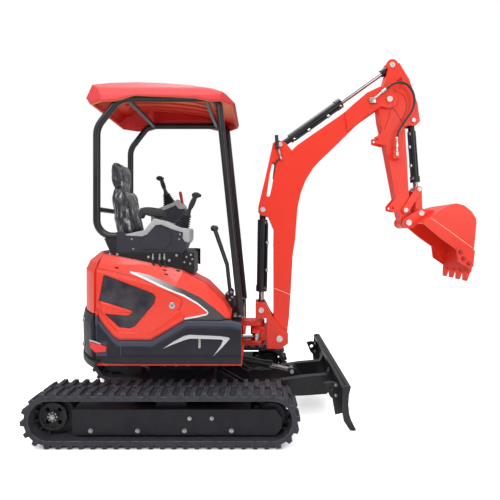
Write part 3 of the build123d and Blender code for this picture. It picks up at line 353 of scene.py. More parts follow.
# Track frames: black welded frames with bolted roller spindles, idlers, sprockets
# and rollers in black cast steel.
def bolt(work, at, way, radius=0.011, height=0.008):
    """A hexagon head on its washer."""
    place = towards(at, way)
    for low, high, first, second, sides in ((0, 0.28, 1.45, 1.4, 18), (0.28, 0.9, 1.0, 1.0, 6),
                                            (0.9, 1, 0.92, 0.75, 12)):
        bmesh.ops.create_cone(work, cap_ends=True, segments=sides, radius1=radius * first,
                              radius2=radius * second, depth=height * (high - low),
                              matrix=place @ Matrix.Translation((0, 0, height * (low + high) / 2)))


dress(black_steel, "track_frame_left", "track_frame_right", "centre_frame", "rollers_left", "rollers_right")
wheel_iron = finish("wheel_iron", (0.012, 0.012, 0.016), (0.02, 0.02, 0.025), 0.5, grain=120.0, depth=0.12,
                    edge=0.004, rubbed_and_painted_highlight_tone=(0.16, 0.16, 0.18), rubbing_and_painted_highlight=0.6, dusty=0.08, dust_to=0.5, shine=0.25)
dress(wheel_iron, "idler_left", "idler_right", "sprocket_left", "sprocket_right")
zinc = finish("zinc_bolts", (0.5, 0.5, 0.48), (0.36, 0.36, 0.35), 0.36, metal=0.9, grain=600.0, depth=0.05,
              edge=0.001, patch=40.0)
for side, label in SIDES:
    work = bmesh.new()
    for x in (-1.105, -0.812, -0.520, -0.227):
        bolt(work, (x, side * 0.58, 0.094), (0, side, 0), 0.0105, 0.011)
    for x, z in ((-0.488, 0.171), (-0.349, 0.171)):
        bolt(work, (x, side * 0.58, z), (0, side, 0), 0.009, 0.009)
    piece("track_frame_bolts_" + label, work, zinc, "undercarriage")
    work = bmesh.new()
    for number in range(8):
        turn = math.tau * number / 8
        at = (wheel_rear + 0.0265 * math.cos(turn), side * 0.563, wheel_z + 0.0265 * math.sin(turn))
        bolt(work, at, (0, side, 0), 0.004, 0.005)
    bolt(work, (wheel_rear, side * 0.567, wheel_z), (0, side, 0), 0.012, 0.006)
    piece("idler_bolts_" + label, work, zinc, "undercarriage")

# Slew ring: the machined bearing between the undercarriage and the house, with
# its ring of bolts.
ring_steel = finish("ring_steel", (0.2, 0.2, 0.2), (0.14, 0.14, 0.142), 0.4, metal=0.8, grain=260.0, depth=0.06,
                    edge=0.002, dusty=0.4, dust_to=0.9, dust_tone=(0.06, 0.055, 0.05))
dress(ring_steel, "slew_ring")
slew_x = -0.630
work = bmesh.new()
for number in range(24):
    turn = math.tau * number / 24
    bolt(work, (slew_x + 0.309 * math.cos(turn), 0.309 * math.sin(turn), 0.40), (0, 0, 1), 0.006, 0.007)
piece("slew_ring_bolts", work, zinc, "undercarriage")

# Dozer blade: a black curved board with bolted wear edge, brackets on its back,
# two arms pinned to the centre frame.
blade_paint = finish("blade_paint", (0.010, 0.010, 0.014), (0.018, 0.017, 0.022), 0.36, coat=0.05, grain=150.0,
                     depth=0.08, edge=0.004, rubbed_and_painted_highlight_tone=(0.2, 0.18, 0.17), rubbing_and_painted_highlight=0.6, dusty=0.15, dust_to=0.4, shine=0.3)
dress(blade_paint, "blade", "blade_arms")
work = bmesh.new()
for number in range(9):
    bolt(work, (0.488, -0.54 + 0.135 * number, 0.168), (-0.83, 0, -0.55), 0.010, 0.009)
for side in (-1, 1):
    for x, z in ((0.448, 0.335), (0.448, 0.268)):
        bolt(work, (x, side * 0.47, z), (0, side, 0), 0.008, 0.007)
        bolt(work, (x, side * 0.45, z), (0, -side, 0), 0.008, 0.007)
piece("blade_bolts", work, zinc, "dozer")

# Hydraulic cylinders: black painted barrels with a gland nut, chromed rods with
# welded eyes, a steel feed pipe beside the longer ones.
barrel_paint = finish("barrel_paint", (0.009, 0.009, 0.013), (0.014, 0.014, 0.019), 0.28, coat=0.1, grain=200.0,
                      depth=0.03, edge=0.003, rubbed_and_painted_highlight_tone=(0.10, 0.10, 0.12), rubbing_and_painted_highlight=0.3, shine=0.35)
dress(barrel_paint, "blade_cylinder_barrel", "swing_cylinder_barrel", "boom_cylinder_barrel",
      "arm_cylinder_barrel", "bucket_cylinder_barrel")
chrome = finish("hard_chrome", (0.40, 0.38, 0.39), (0.33, 0.32, 0.33), 0.14, metal=1.0, grain=900.0, depth=0.01,
                edge=0.002, patch=12.0)
dress(chrome, "blade_cylinder_rod", "swing_cylinder_rod", "boom_cylinder_rod", "arm_cylinder_rod",
      "bucket_cylinder_rod")


def feed_pipe(name, base, eye, aside, first, last, body):
    """A steel pipe beside a barrel, from its base to its gland, with end fittings and a clamp."""
    way = (Vector(eye) - Vector(base)).normalized()
    here = Vector(base) + way * first
    there = Vector(base) + way * last
    out = Vector(aside)
    near = out * 0.62
    run = [here + near, here + out * 0.98, here + out + way * 0.03, there + out - way * 0.03, there + out * 0.98,
           there + near]
    routed(name, run, 0.0075, black_steel, body)
    grips = bmesh.new()
    nut = [(0.0001, 0.0), (0.013, 0.0), (0.014, 0.002), (0.014, 0.014), (0.012, 0.018), (0.0001, 0.018)]
    for spot in (here, there):
        turned(grips, towards(spot + near * 0.95, out), nut, 6)
    for share in (0.3, 0.72):
        turned(grips, towards(here.lerp(there, share) + out - way * 0.01, way),
               [(0.0078, 0.0), (0.012, 0.0), (0.012, 0.02), (0.0078, 0.02), (0.0078, 0.0)], 12)
    piece(name + "_fittings", grips, bright_steel, body)


boom_pins = ((-0.024, 0, 1.504), (-0.037, 0, 0.745))
arm_pins = ((0.107, 0, 1.998), (0.965, 0, 2.610))
bucket_pins = ((1.124, 0, 2.186), (1.163, 0, 1.658))
for name, (base, eye), radius, body in (("arm_rod_sleeve", arm_pins, 0.027, "arm_rod"),
                                        ("boom_rod_sleeve", boom_pins, 0.026, "boom_rod")):
    sleeve = [(0.0001, 0.0), (radius * 0.9, 0.0), (radius, 0.004), (radius, 0.052), (radius * 0.9, 0.056)]
    work = bmesh.new()
    turned(work, towards(Vector(base).lerp(Vector(eye), 0.915), Vector(eye) - Vector(base)),
           sleeve + [(0.0001, 0.056)], 24)
    piece(name, work, barrel_paint, body)
feed_pipe("boom_feed_pipe", *boom_pins, (0.036, -0.042, 0), 0.10, 0.60, "boom_barrel")
feed_pipe("arm_feed_pipe", *arm_pins, (0.020, -0.034, -0.028), 0.12, 0.555, "arm_barrel")
feed_pipe("bucket_feed_pipe", *bucket_pins, (-0.038, -0.034, 0), 0.10, 0.44, "bucket_barrel")
routed("blade_feed_hose", [(-0.200, -0.038, 0.352), (-0.160, -0.060, 0.320), (-0.080, -0.062, 0.285),
                           (0.0, -0.055, 0.285), (0.035, -0.036, 0.300)], 0.007, hose_rubber, "blade_barrel")
work = bmesh.new()
turned(work, towards((0.035, -0.028, 0.300), (0, -1, 0)),
       [(0.0001, 0.0), (0.012, 0.0), (0.012, 0.014), (0.009, 0.018), (0.0001, 0.018)], 6)
piece("blade_hose_fitting", work, bright_steel, "blade_barrel")

# Deck and tail: the welded red deck that turns on the ring, the dark cast
# counterweight bolted round its tail.
# The pale pink along the red paint's edges is a painted highlight.
red_paint = finish("red_paint", (0.86, 0.042, 0.020), (0.80, 0.036, 0.017), 0.34, coat=0.12, grain=160.0,
                   depth=0.015, edge=0.004, rubbed_and_painted_highlight_tone=(1.0, 0.20, 0.14), rubbing_and_painted_highlight=0.4, patch=3.0, shine=0.35)
dress(red_paint, "deck")


def swept(work, section, first, angle, steps):
    """An (x, z) section beside the slew axis, turned about it from the first angle."""
    turn = Matrix.Rotation(first, 3, "Z")
    axis = Vector((slew_x, 0, 0))
    start = [work.verts.new(turn @ Vector((x, 0, z)) + axis) for x, z in section]
    face = work.faces.new(start)
    bmesh.ops.spin(work, geom=[face] + list(face.edges) + start, cent=axis, axis=(0, 0, 1), angle=angle,
                   steps=steps, use_merge=False, use_duplicate=False)


casting = finish("tail_casting", (0.018, 0.018, 0.025), (0.026, 0.026, 0.034), 0.45, grain=90.0, depth=0.2,
                 edge=0.005, rubbed_and_painted_highlight_tone=(0.10, 0.10, 0.12), rubbing_and_painted_highlight=0.3, dusty=0.1, dust_to=0.9, shine=0.25)
dress(casting, "counterweight")
work = bmesh.new()
for turn in (-32, -11, 11, 32):
    angle = math.radians(180 + turn)
    for z in (0.58, 0.74):
        out = (math.cos(angle), math.sin(angle), 0)
        bolt(work, (slew_x + 0.7145 * out[0], 0.7145 * out[1], z), out, 0.013, 0.011)
piece("counterweight_bolts", work, zinc, "house")
work = bmesh.new()
turned_ring = [(0.700, 0.466), (0.7155, 0.470), (0.7155, 0.507), (0.700, 0.512)]
swept(work, [(-radius, z) for radius, z in turned_ring], -0.86, 1.72, 40)
piece("tail_foot_band", work, casting, "house")


# Skirts: dark moulded plastic side panels in two lengths, clipped to the deck,
# with a raised face under a sloping shoulder, a silver flash and a slot.
def panel(work, outline, low, high, rounded=0.0, segments=2):
    """A side view outline of (x, z) points, solid between two y values, its outer rim bevelled."""
    ring = [work.verts.new((x, low, z)) for x, z in outline]
    face = work.faces.new(ring)
    grown = bmesh.ops.extrude_face_region(work, geom=[face])["geom"]
    tops = [item for item in grown if isinstance(item, bmesh.types.BMVert)]
    bmesh.ops.translate(work, verts=tops, vec=(0, high - low, 0))
    if rounded:
        rim = [item for item in grown if isinstance(item, bmesh.types.BMEdge)]
        bmesh.ops.bevel(work, geom=rim, offset=rounded, affect="EDGES", segments=segments, profile=0.5,
                        material=-1)


skirt_plastic = finish("skirt_plastic", (0.017, 0.016, 0.024), (0.023, 0.022, 0.031), 0.34, grain=520.0,
                       depth=0.08, edge=0.006, rubbed_and_painted_highlight_tone=(0.10, 0.11, 0.15), rubbing_and_painted_highlight=0.5, dusty=0.08, dust_to=0.7,
                       shine=0.22)
# The skirts with their sloping shoulder take a lighter, bluer copy of the faces' dark plastic: a painted sheen
# from above.
skirt_painted_sheen = finish("skirt_painted_sheen", (0.052, 0.058, 0.085), (0.064, 0.070, 0.100), 0.36, grain=520.0, depth=0.08,
                     edge=0.006, rubbed_and_painted_highlight_tone=(0.16, 0.17, 0.21), rubbing_and_painted_highlight=0.4, shine=0.25)
dress(skirt_painted_sheen, "left_skirt", "right_skirt")
silver = finish("silver_flash", (0.62, 0.62, 0.63), (0.55, 0.55, 0.56), 0.3, metal=0.35, grain=500.0, depth=0.02,
                edge=0.001)
skirt_face = [(-0.940, 0.540), (-0.172, 0.540), (-0.172, 0.706), (-0.245, 0.722), (-0.520, 0.726),
              (-0.744, 0.596)]
skirt_face += [(-0.940, 0.596)]
tail_face = [(-0.952, 0.540), (-0.952, 0.596), (-0.966, 0.600), (-0.990, 0.615), (-1.098, 0.745), (-1.100, 0.632)]
tail_face += [(-1.030, 0.632), (-1.030, 0.540)]
skirt_lip = [(-1.105, 0.500), (-1.030, 0.487), (-0.900, 0.484), (-0.170, 0.484), (-0.170, 0.536), (-1.102, 0.536)]
flash = [(-0.672, 0.586), (-0.600, 0.634), (-0.535, 0.668), (-0.500, 0.676), (-0.300, 0.667), (-0.245, 0.657)]
flash += [(-0.243, 0.648), (-0.290, 0.595), (-0.350, 0.536), (-0.300, 0.606), (-0.284, 0.640), (-0.300, 0.646)]
flash += [(-0.420, 0.650), (-0.498, 0.651), (-0.535, 0.641), (-0.600, 0.616)]
for side, label in SIDES:
    work = bmesh.new()
    panel(work, skirt_face, side * 0.500, side * 0.517, 0.010, 3)
    panel(work, tail_face, side * 0.500, side * 0.515, 0.008, 3)
    panel(work, skirt_lip, side * 0.495, side * 0.509, 0.003)
    piece("skirt_face_" + label, work, skirt_plastic, "house")
    work = bmesh.new()
    panel(work, flash, side * 0.515, side * 0.5185, 0.0012)
    piece("skirt_flash_" + label, work, silver, "house")
    work = bmesh.new()
    panel(work, [(-0.441, 0.590), (-0.431, 0.590), (-0.428, 0.594), (-0.428, 0.648), (-0.432, 0.652),
                 (-0.440, 0.652), (-0.443, 0.648), (-0.443, 0.594)], side * 0.514, side * 0.520, 0.002)
    piece("skirt_slot_" + label, work, zinc, "house")

# Tail lamps: red ribbed plastic lenses let into the skirts' rear corners, each
# under a thin bright trim that clips over its upper edge.
lens = finish("lamp_lens", (0.86, 0.030, 0.030), (0.74, 0.022, 0.022), 0.16, coat=0.1, grain=260.0, depth=0.25,
              edge=0.004, patch=40.0)
dress(lens, "tail_lamps")
lamp_trim = [(-1.142, 0.646), (-1.100, 0.634), (-1.066, 0.619), (-1.069, 0.613), (-1.104, 0.625), (-1.142, 0.634)]
for side, label in SIDES:
    work = bmesh.new()
    panel(work, lamp_trim, side * 0.500, side * 0.5165, 0.001)
    piece("lamp_trim_" + label, work, bright_steel, "house")

# Covers: gloss red mouldings over the engine bay and tank; the right one opens
# on its rear pin and carries a dark window with a red fin, a lock and a flash.
red_panel = finish("red_panel", (0.86, 0.040, 0.017), (0.81, 0.035, 0.015), 0.26, coat=0.55, grain=120.0,
                   depth=0.01, edge=0.022, patch=2.5, shine=0.35)
flash_panel = red_panel.copy()
flash_panel.name = "red_panel_flash"
tree = flash_panel.node_tree
flash_rear, flash_front, flash_base, flash_head = -0.91, -0.25, 0.60, 1.12
spot = axes_of(tree)
flash_t = remap(tree, spot["X"], flash_rear, flash_front)
flash_z = remap(tree, spot["Z"], flash_base, flash_head)


def flash_line(points):
    """A height along the cover as a curve, in the flash's own share of length and height."""
    node = tree.nodes.new("ShaderNodeFloatCurve")
    curve = node.mapping.curves[0]
    length, height = flash_front - flash_rear, flash_head - flash_base
    shares = [((x - flash_rear) / length, (z - flash_base) / height) for x, z in points]
    while len(curve.points) < len(shares):
        curve.points.new(0.5, 0.5)
    for knot, share in zip(curve.points, shares):
        knot.location = share
        knot.handle_type = "VECTOR"
    node.mapping.update()
    tree.links.new(flash_t, node.inputs["Value"])
    return node.outputs[0]


flash_top = flash_line([(-0.91, 1.076), (-0.898, 1.076), (-0.835, 1.066), (-0.777, 1.052), (-0.642, 0.999),
                        (-0.547, 0.960), (-0.439, 0.908), (-0.351, 0.845), (-0.265, 0.767), (-0.25, 0.75)])
flash_low = flash_line([(-0.91, 1.076), (-0.898, 1.074), (-0.799, 1.033), (-0.649, 0.967), (-0.542, 0.924),
                        (-0.449, 0.871), (-0.391, 0.824), (-0.383, 0.813), (-0.25, 0.813)])
flash_foot = flash_line([(-0.91, 0.61), (-0.542, 0.61), (-0.536, 0.774), (-0.449, 0.789), (-0.391, 0.803),
                         (-0.383, 0.813), (-0.25, 0.813)])
in_tip = sums(tree, "MULTIPLY", sums(tree, "LESS_THAN", flash_z, flash_low),
              sums(tree, "GREATER_THAN", flash_z, flash_foot))
in_band = sums(tree, "MULTIPLY", sums(tree, "LESS_THAN", flash_z, flash_top), sums(tree, "SUBTRACT", 1.0, in_tip))
in_reach = sums(tree, "MULTIPLY", sums(tree, "GREATER_THAN", flash_t, 0.02),
                sums(tree, "LESS_THAN", flash_t, 0.985))
dark_part = sums(tree, "MULTIPLY", in_band, in_reach)
near_low = sums(tree, "LESS_THAN", sums(tree, "ABSOLUTE", sums(tree, "SUBTRACT", flash_z, flash_low)), 0.0115)
near_foot = sums(tree, "LESS_THAN", sums(tree, "ABSOLUTE", sums(tree, "SUBTRACT", flash_z, flash_foot)), 0.010)
near_foot = sums(tree, "MULTIPLY", near_foot, sums(tree, "GREATER_THAN", flash_t, 0.565))
line_part = sums(tree, "MAXIMUM", near_low, near_foot)
line_part = sums(tree, "MULTIPLY", line_part, sums(tree, "LESS_THAN", flash_t, 0.80))
line_part = sums(tree, "MULTIPLY", line_part, sums(tree, "GREATER_THAN", flash_t, 0.02))
shader = tree.nodes["Principled BSDF"]
red_now = shader.inputs["Base Color"].links[0].from_socket
fade = mix_colours(tree, remap(tree, flash_t, 0.05, 0.55), (0.62, 0.60, 0.60), (0.045, 0.043, 0.045))
red_now = mix_colours(tree, dark_part, red_now, fade)
red_now = mix_colours(tree, line_part, red_now, (0.82, 0.80, 0.80))
tree.links.new(red_now, shader.inputs["Base Color"])
dress(flash_panel, "right_cover", "left_cover")
dress(red_paint, "rear_hood", "tank_cover")
window_tint = finish("window_tint", (0.009, 0.008, 0.019), (0.060, 0.054, 0.060), 0.10, grain=60.0, depth=0.02,
                     edge=0.002, patch=11.0, shine=0.4)
dress(window_tint, "right_window")
window_line = [(-1.058, 1.050), (-1.046, 1.056), (-0.738, 0.938), (-0.720, 0.916), (-0.731, 0.872),
               (-0.857, 0.724)]
window_line += [(-0.894, 0.712), (-0.957, 0.720), (-1.050, 0.805), (-1.088, 0.890)]
middle = Vector((-0.90, 0.88))
work = bmesh.new()
inner = [work.verts.new((x, -0.500, z)) for x, z in window_line]
ring = [work.edges.new((inner[number - 1], inner[number])) for number in range(len(inner))]
grown = bmesh.ops.extrude_edge_only(work, edges=ring)["geom"]
outer = [item for item in grown if isinstance(item, bmesh.types.BMVert)]
for vert in outer:
    vert.co.x = middle.x + (vert.co.x - middle.x) * 1.065
    vert.co.z = middle.y + (vert.co.z - middle.y) * 1.075
    vert.co.y = -0.4995
bmesh.ops.solidify(work, geom=work.faces, thickness=0.004)
bmesh.ops.bevel(work, geom=work.edges, offset=0.0015, affect="EDGES", segments=2, profile=0.5, material=-1)
piece("window_rim", work, red_panel, "right_door")
work = bmesh.new()
panel(work, [(-1.092, 0.893), (-0.872, 0.823), (-0.872, 0.812), (-0.900, 0.792), (-1.062, 0.806)], -0.478, -0.506,
      0.010, 3)
piece("window_fin", work, red_panel, "right_door")
cover_band = [(-1.100, 0.800), (-0.992, 0.664), (-0.956, 0.641), (-0.751, 0.641), (-0.535, 0.766),
              (-0.535, 0.800)]
cover_band += [(-0.575, 0.836), (-0.738, 0.690), (-0.950, 0.690), (-0.985, 0.712), (-1.096, 0.850)]
work = bmesh.new()
panel(work, cover_band, -0.497, -0.5065, 0.0085, 3)
piece("right_cover_band", work, red_panel, "right_door")
work = bmesh.new()
panel(work, [(-1.100, 0.800), (-0.992, 0.664), (-0.956, 0.641), (-0.751, 0.641), (-0.622, 0.716), (-0.622, 0.774),
             (-0.738, 0.690), (-0.950, 0.690), (-0.985, 0.712), (-1.096, 0.850)], 0.497, 0.5065, 0.0085, 3)
piece("left_cover_band", work, red_panel, "house")
work = bmesh.new()
lock_barrel = [(0.0001, 0.010), (0.009, 0.010), (0.0095, 0.006), (0.017, 0.006), (0.020, 0.004), (0.020, 0.0)]
turned(work, towards((-0.615, -0.500, 0.860), (0, -1, 0)), lock_barrel, 28)
block(work, (-0.615, -0.5105, 0.860), (0.003, 0.002, 0.011))
piece("cover_lock", work, bright_steel, "right_door")
# The lock's keyhole and the cover's slots are near black: painted shade in the openings.
work = bmesh.new()
turned(work, towards((-0.615, -0.5098, 0.860), (0, -1, 0)), [(0.0001, 0.0012), (0.006, 0.0012), (0.006, 0.0)], 16)
slot_shade = finish("slot_shade", (0.006, 0.005, 0.005), (0.012, 0.010, 0.010), 0.8, edge=0.001, patch=60.0)
for x, y, z in ((-0.986, -0.459, 1.100), (-0.685, -0.410, 1.080), (-0.669, -0.430, 1.053),
                (-0.599, -0.398, 1.074)):
    block(work, (x, y, z), (0.024, 0.010, 0.007), Matrix.Rotation(0.2, 3, "Y"))
piece("cover_slots", work, slot_shade, "right_door")
# A darker red for the crease lines and plate edges: painted shade along them.
crease_shade_red = finish("crease_shade_red", (0.42, 0.012, 0.008), (0.36, 0.010, 0.007), 0.4, coat=0.2, edge=0.001)
crease = [(-1.098, -0.486, 1.099), (-1.015, -0.480, 1.082), (-0.928, -0.480, 1.060), (-0.826, -0.484, 1.030)]
crease += [(-0.722, -0.494, 0.992), (-0.628, -0.499, 0.946), (-0.556, -0.499, 0.903), (-0.548, -0.499, 0.886)]
crease += [(-0.560, -0.499, 0.849), (-0.592, -0.499, 0.799)]
routed("cover_crease", crease, 0.0028, crease_shade_red, "right_door")

# Rear hood: the curved red sheet steel lid over the engine, hinged at one side,
# with seven pressed louvres, their openings painted near black as shade, and a key lock below them.
work = bmesh.new()
for number in range(7):
    low = 0.915 + 0.026 * number
    slat = [(-0.6935, low), (-0.6975, low + 0.003), (-0.6975, low + 0.009), (-0.6935, low + 0.014)]
    swept(work, slat, math.radians(-20), math.radians(40), 14)
piece("hood_louvres", work, slot_shade, "hood")
work = bmesh.new()
turned(work, towards((slew_x - 0.694, 0, 0.885), (-1, 0, 0)), lock_barrel, 28)
piece("hood_lock", work, bright_steel, "hood")

# Engine, floor and seat base: a grey engine under a black box of folded steel
# that carries the seat; its side plates are bolted on along the covers.
dress(finish("engine_grey", (0.09, 0.09, 0.095), (0.13, 0.13, 0.135), 0.6, metal=0.3, grain=60.0, depth=0.3,
             edge=0.006),
      "engine_block")
base_black = finish("base_black", (0.012, 0.010, 0.012), (0.020, 0.017, 0.019), 0.42, grain=140.0, depth=0.1,
                    edge=0.003, rubbed_and_painted_highlight_tone=(0.1, 0.1, 0.1), rubbing_and_painted_highlight=0.3, shine=0.25)
dress(base_black, "seat_base", "seat_frame", "floor")
side_line = [(-1.085, 1.192), (-0.565, 1.192), (-0.565, 1.050), (-0.719, 1.100), (-1.085, 1.180)]
for side, label in SIDES:
    work = bmesh.new()
    panel(work, side_line, side * 0.376, side * 0.3865, 0.002)
    piece("seat_base_side_" + label, work, base_black, "house")
    work = bmesh.new()
    for x, z in ((-1.06, 1.184), (-1.01, 1.182), (-0.80, 1.165), (-0.66, 1.142), (-0.61, 1.176)):
        bolt(work, (x, side * 0.3865, z), (0, side, 0), 0.0065, 0.007)
    piece("seat_base_bolts_" + label, work, zinc, "house")

# Operator's floor mat: a sheet of moulded black rubber with ribs from front to
# back, laid loose on the floor behind the levers.
mat_rubber = finish("mat_rubber", (0.016, 0.016, 0.017), (0.026, 0.026, 0.027), 0.7, grain=200.0, depth=0.3,
                    edge=0.002, dusty=0.3, dust_to=1.4)
work = bmesh.new()
block(work, (-0.425, 0.135, 0.742), (0.34, 0.62, 0.006))
for number in range(14):
    block(work, (-0.425, -0.145 + 0.043 * number, 0.7465), (0.32, 0.014, 0.006))
piece("floor_mat", work, mat_rubber, "house")

# Operator's seat: foam pads in dark vinyl, still in the clear wrinkled film that
# they were shipped in, on a steel pan.
wrapped = finish("wrapped_vinyl", (0.020, 0.021, 0.028), (0.045, 0.047, 0.058), 0.28, coat=0.5, grain=900.0,
                 depth=0.02, edge=0.001, patch=14.0, shine=0.4)
tree = wrapped.node_tree
shader = tree.nodes["Principled BSDF"]
pulls = noise_in(tree, 9.0, 5.0, (2.6, 2.2, 0.7))
folds = sums(tree, "ABSOLUTE", sums(tree, "SUBTRACT", pulls, 0.5))
ridges = remap(tree, folds, 0.060, 0.0)
crumple = remap(tree, noise_in(tree, 26.0, 6.0, (1.4, 1.2, 0.45)), 0.47, 0.65)
painted_ridge_highlight = sums(tree, "MULTIPLY", ridges, crumple)
vinyl = shader.inputs["Base Color"].links[0].from_socket
# The film's pale veil over its crumples and the near white on its ridges are a painted sheen and painted glints.
painted_film_sheen = mix_colours(tree, sums(tree, "MULTIPLY", crumple, 0.34), vinyl, (0.30, 0.32, 0.36))
painted_film_sheen = mix_colours(tree, sums(tree, "MULTIPLY", painted_ridge_highlight, 1.1, True), painted_film_sheen, (0.82, 0.84, 0.88))
tree.links.new(painted_film_sheen, shader.inputs["Base Color"])
bump = shader.inputs["Normal"].links[0].from_node
bump.inputs["Strength"].default_value = 0.55
bump.inputs["Distance"].default_value = 0.012
tree.links.new(sums(tree, "ADD", ridges, sums(tree, "MULTIPLY", crumple, 0.6)), bump.inputs["Height"])


def swell(name, node, material, cap, voxel=0.006, shrink=0.97):
    """A pad that starts a little smaller than its solid and is blown up by a short cloth run."""
    work = bmesh.new()
    work.from_mesh(nodes[node].data)
    bmesh.ops.remove_doubles(work, verts=work.verts, dist=0.00005)
    low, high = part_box(node)
    heart = (low + high) / 2
    for vert in work.verts:
        vert.co = heart + (vert.co - heart) * shrink
    mesh = bpy.data.meshes.new(name)
    work.to_mesh(mesh)
    work.free()
    pad = bpy.data.objects.new(name, mesh)
    scene.collection.objects.link(pad)

    def settle():
        made = bpy.data.meshes.new_from_object(pad.evaluated_get(bpy.context.evaluated_depsgraph_get()))
        pad.modifiers.clear()
        pad.data = made

    voxels = pad.modifiers.new("voxels", "REMESH")
    voxels.mode = "VOXEL"
    voxels.voxel_size = voxel
    settle()
    before = [vert.co.copy() for vert in pad.data.vertices]
    cloth = pad.modifiers.new("cloth", "CLOTH")
    cloth.settings.use_pressure = True
    cloth.settings.uniform_pressure_force = 4.0
    cloth.settings.effector_weights.gravity = 0.0
    for step in range(1, 21):
        scene.frame_set(step)
    settle()
    scene.frame_set(1)
    for vert, start in zip(pad.data.vertices, before):
        way = vert.co - start
        if way.length > cap:
            vert.co = start + way * (cap / way.length)
    work = bmesh.new()
    work.from_mesh(pad.data)
    for turn in range(4):
        bmesh.ops.smooth_vert(work, verts=work.verts, factor=0.5, use_axis_x=True, use_axis_y=True,
                              use_axis_z=True)
    for face in work.faces:
        face.smooth = True
    work.to_mesh(pad.data)
    work.free()
    pad.data.materials.clear()
    pad.data.materials.append(material)
    finer = pad.modifiers.new("finer", "SUBSURF")
    finer.levels = 1
    finer.render_levels = 1
    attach(pad, "house")
    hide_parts(node)


swell("seat_cushion_pad", "seat_cushion", wrapped, 0.014)
swell("seat_back_pad", "seat_back", wrapped, 0.014)
swell("head_rest_pad", "head_rest", wrapped, 0.012)
work = bmesh.new()
panel(work, [(-1.138, 1.630), (-1.086, 1.630), (-1.084, 1.690), (-1.134, 1.690)], -0.098, 0.098, 0.006)
piece("head_rest_neck", work, wrapped, "house")
rest_foam = finish("arm_rest_foam", (0.018, 0.018, 0.020), (0.028, 0.028, 0.031), 0.62, grain=700.0, depth=0.25,
                   edge=0.001, patch=20.0)
swell("arm_rest_pad", "arm_rest", rest_foam, 0.005, 0.004, 0.985)

# Consoles: dark grained mouldings each side of the seat with a light grey cap
# along their upper edge; the left one tips up to clear the way to the seat.
console_plastic = finish("console_plastic", (0.030, 0.031, 0.042), (0.038, 0.039, 0.051), 0.46, grain=640.0,
                         depth=0.15, edge=0.004, rubbed_and_painted_highlight_tone=(0.12, 0.12, 0.15), rubbing_and_painted_highlight=0.3, shine=0.25)
dress(console_plastic, "right_console", "left_console")
cap_plastic = finish("cap_plastic", (0.42, 0.42, 0.43), (0.37, 0.37, 0.38), 0.42, grain=640.0, depth=0.12,
                     edge=0.003)
cap_line = [(-0.954, 1.310), (-0.951, 1.320), (-0.829, 1.347), (-0.764, 1.424), (-0.757, 1.425), (-0.700, 1.410)]
cap_line += [(-0.577, 1.363), (-0.528, 1.357), (-0.521, 1.350), (-0.521, 1.286), (-0.532, 1.262), (-0.556, 1.270)]
cap_line += [(-0.570, 1.292), (-0.568, 1.330), (-0.640, 1.352), (-0.716, 1.384), (-0.752, 1.380), (-0.812, 1.315)]
cap_line += [(-0.845, 1.304)]
tip_up = Matrix.Translation((-0.990, 0, 1.254)) @ Matrix.Rotation(math.radians(-42), 4, "Y")
tip_up = tip_up @ Matrix.Translation((0.950, 0, -1.262))
work = bmesh.new()
panel(work, cap_line, -0.238, -0.3885, 0.004)
piece("right_console_cap", work, cap_plastic, "house")
work = bmesh.new()
panel(work, cap_line, 0.238, 0.3885, 0.004)
bmesh.ops.transform(work, matrix=tip_up, verts=work.verts)
piece("left_console_cap", work, cap_plastic, "house")
work = bmesh.new()
for x, z in ((-0.915, 1.285), (-0.588, 1.318), (-0.594, 1.285), (-0.905, 1.22)):
    bolt(work, (x, -0.380, z), (0, -1, 0), 0.0045, 0.004)
for x, z in ((-0.575, 1.18), (-0.545, 1.165), (-0.515, 1.18), (-0.56, 1.13), (-0.52, 1.12), (-0.505, 1.15),
             (-0.575, 1.095)):
    bolt(work, (x, -0.379, z), (0, -1, 0), 0.005, 0.005)
piece("console_screws", work, zinc, "house")
for number, x in enumerate((-0.767, -0.722, -0.690)):
    routed("console_hose_%d" % number, [(x, -0.393, 1.150), (x - 0.004, -0.396, 1.125),
                                        (x + 0.012, -0.396, 1.106)],
           0.008, hose_rubber, "house")
    work = bmesh.new()
    turned(work, towards((x, -0.393, 1.148), (0, 0, 1)),
           [(0.0001, 0.0), (0.010, 0.0), (0.010, 0.016), (0.0075, 0.018), (0.0075, 0.040), (0.0001, 0.041)], 6)
    piece("console_fitting_%d" % number, work, bright_steel, "house")

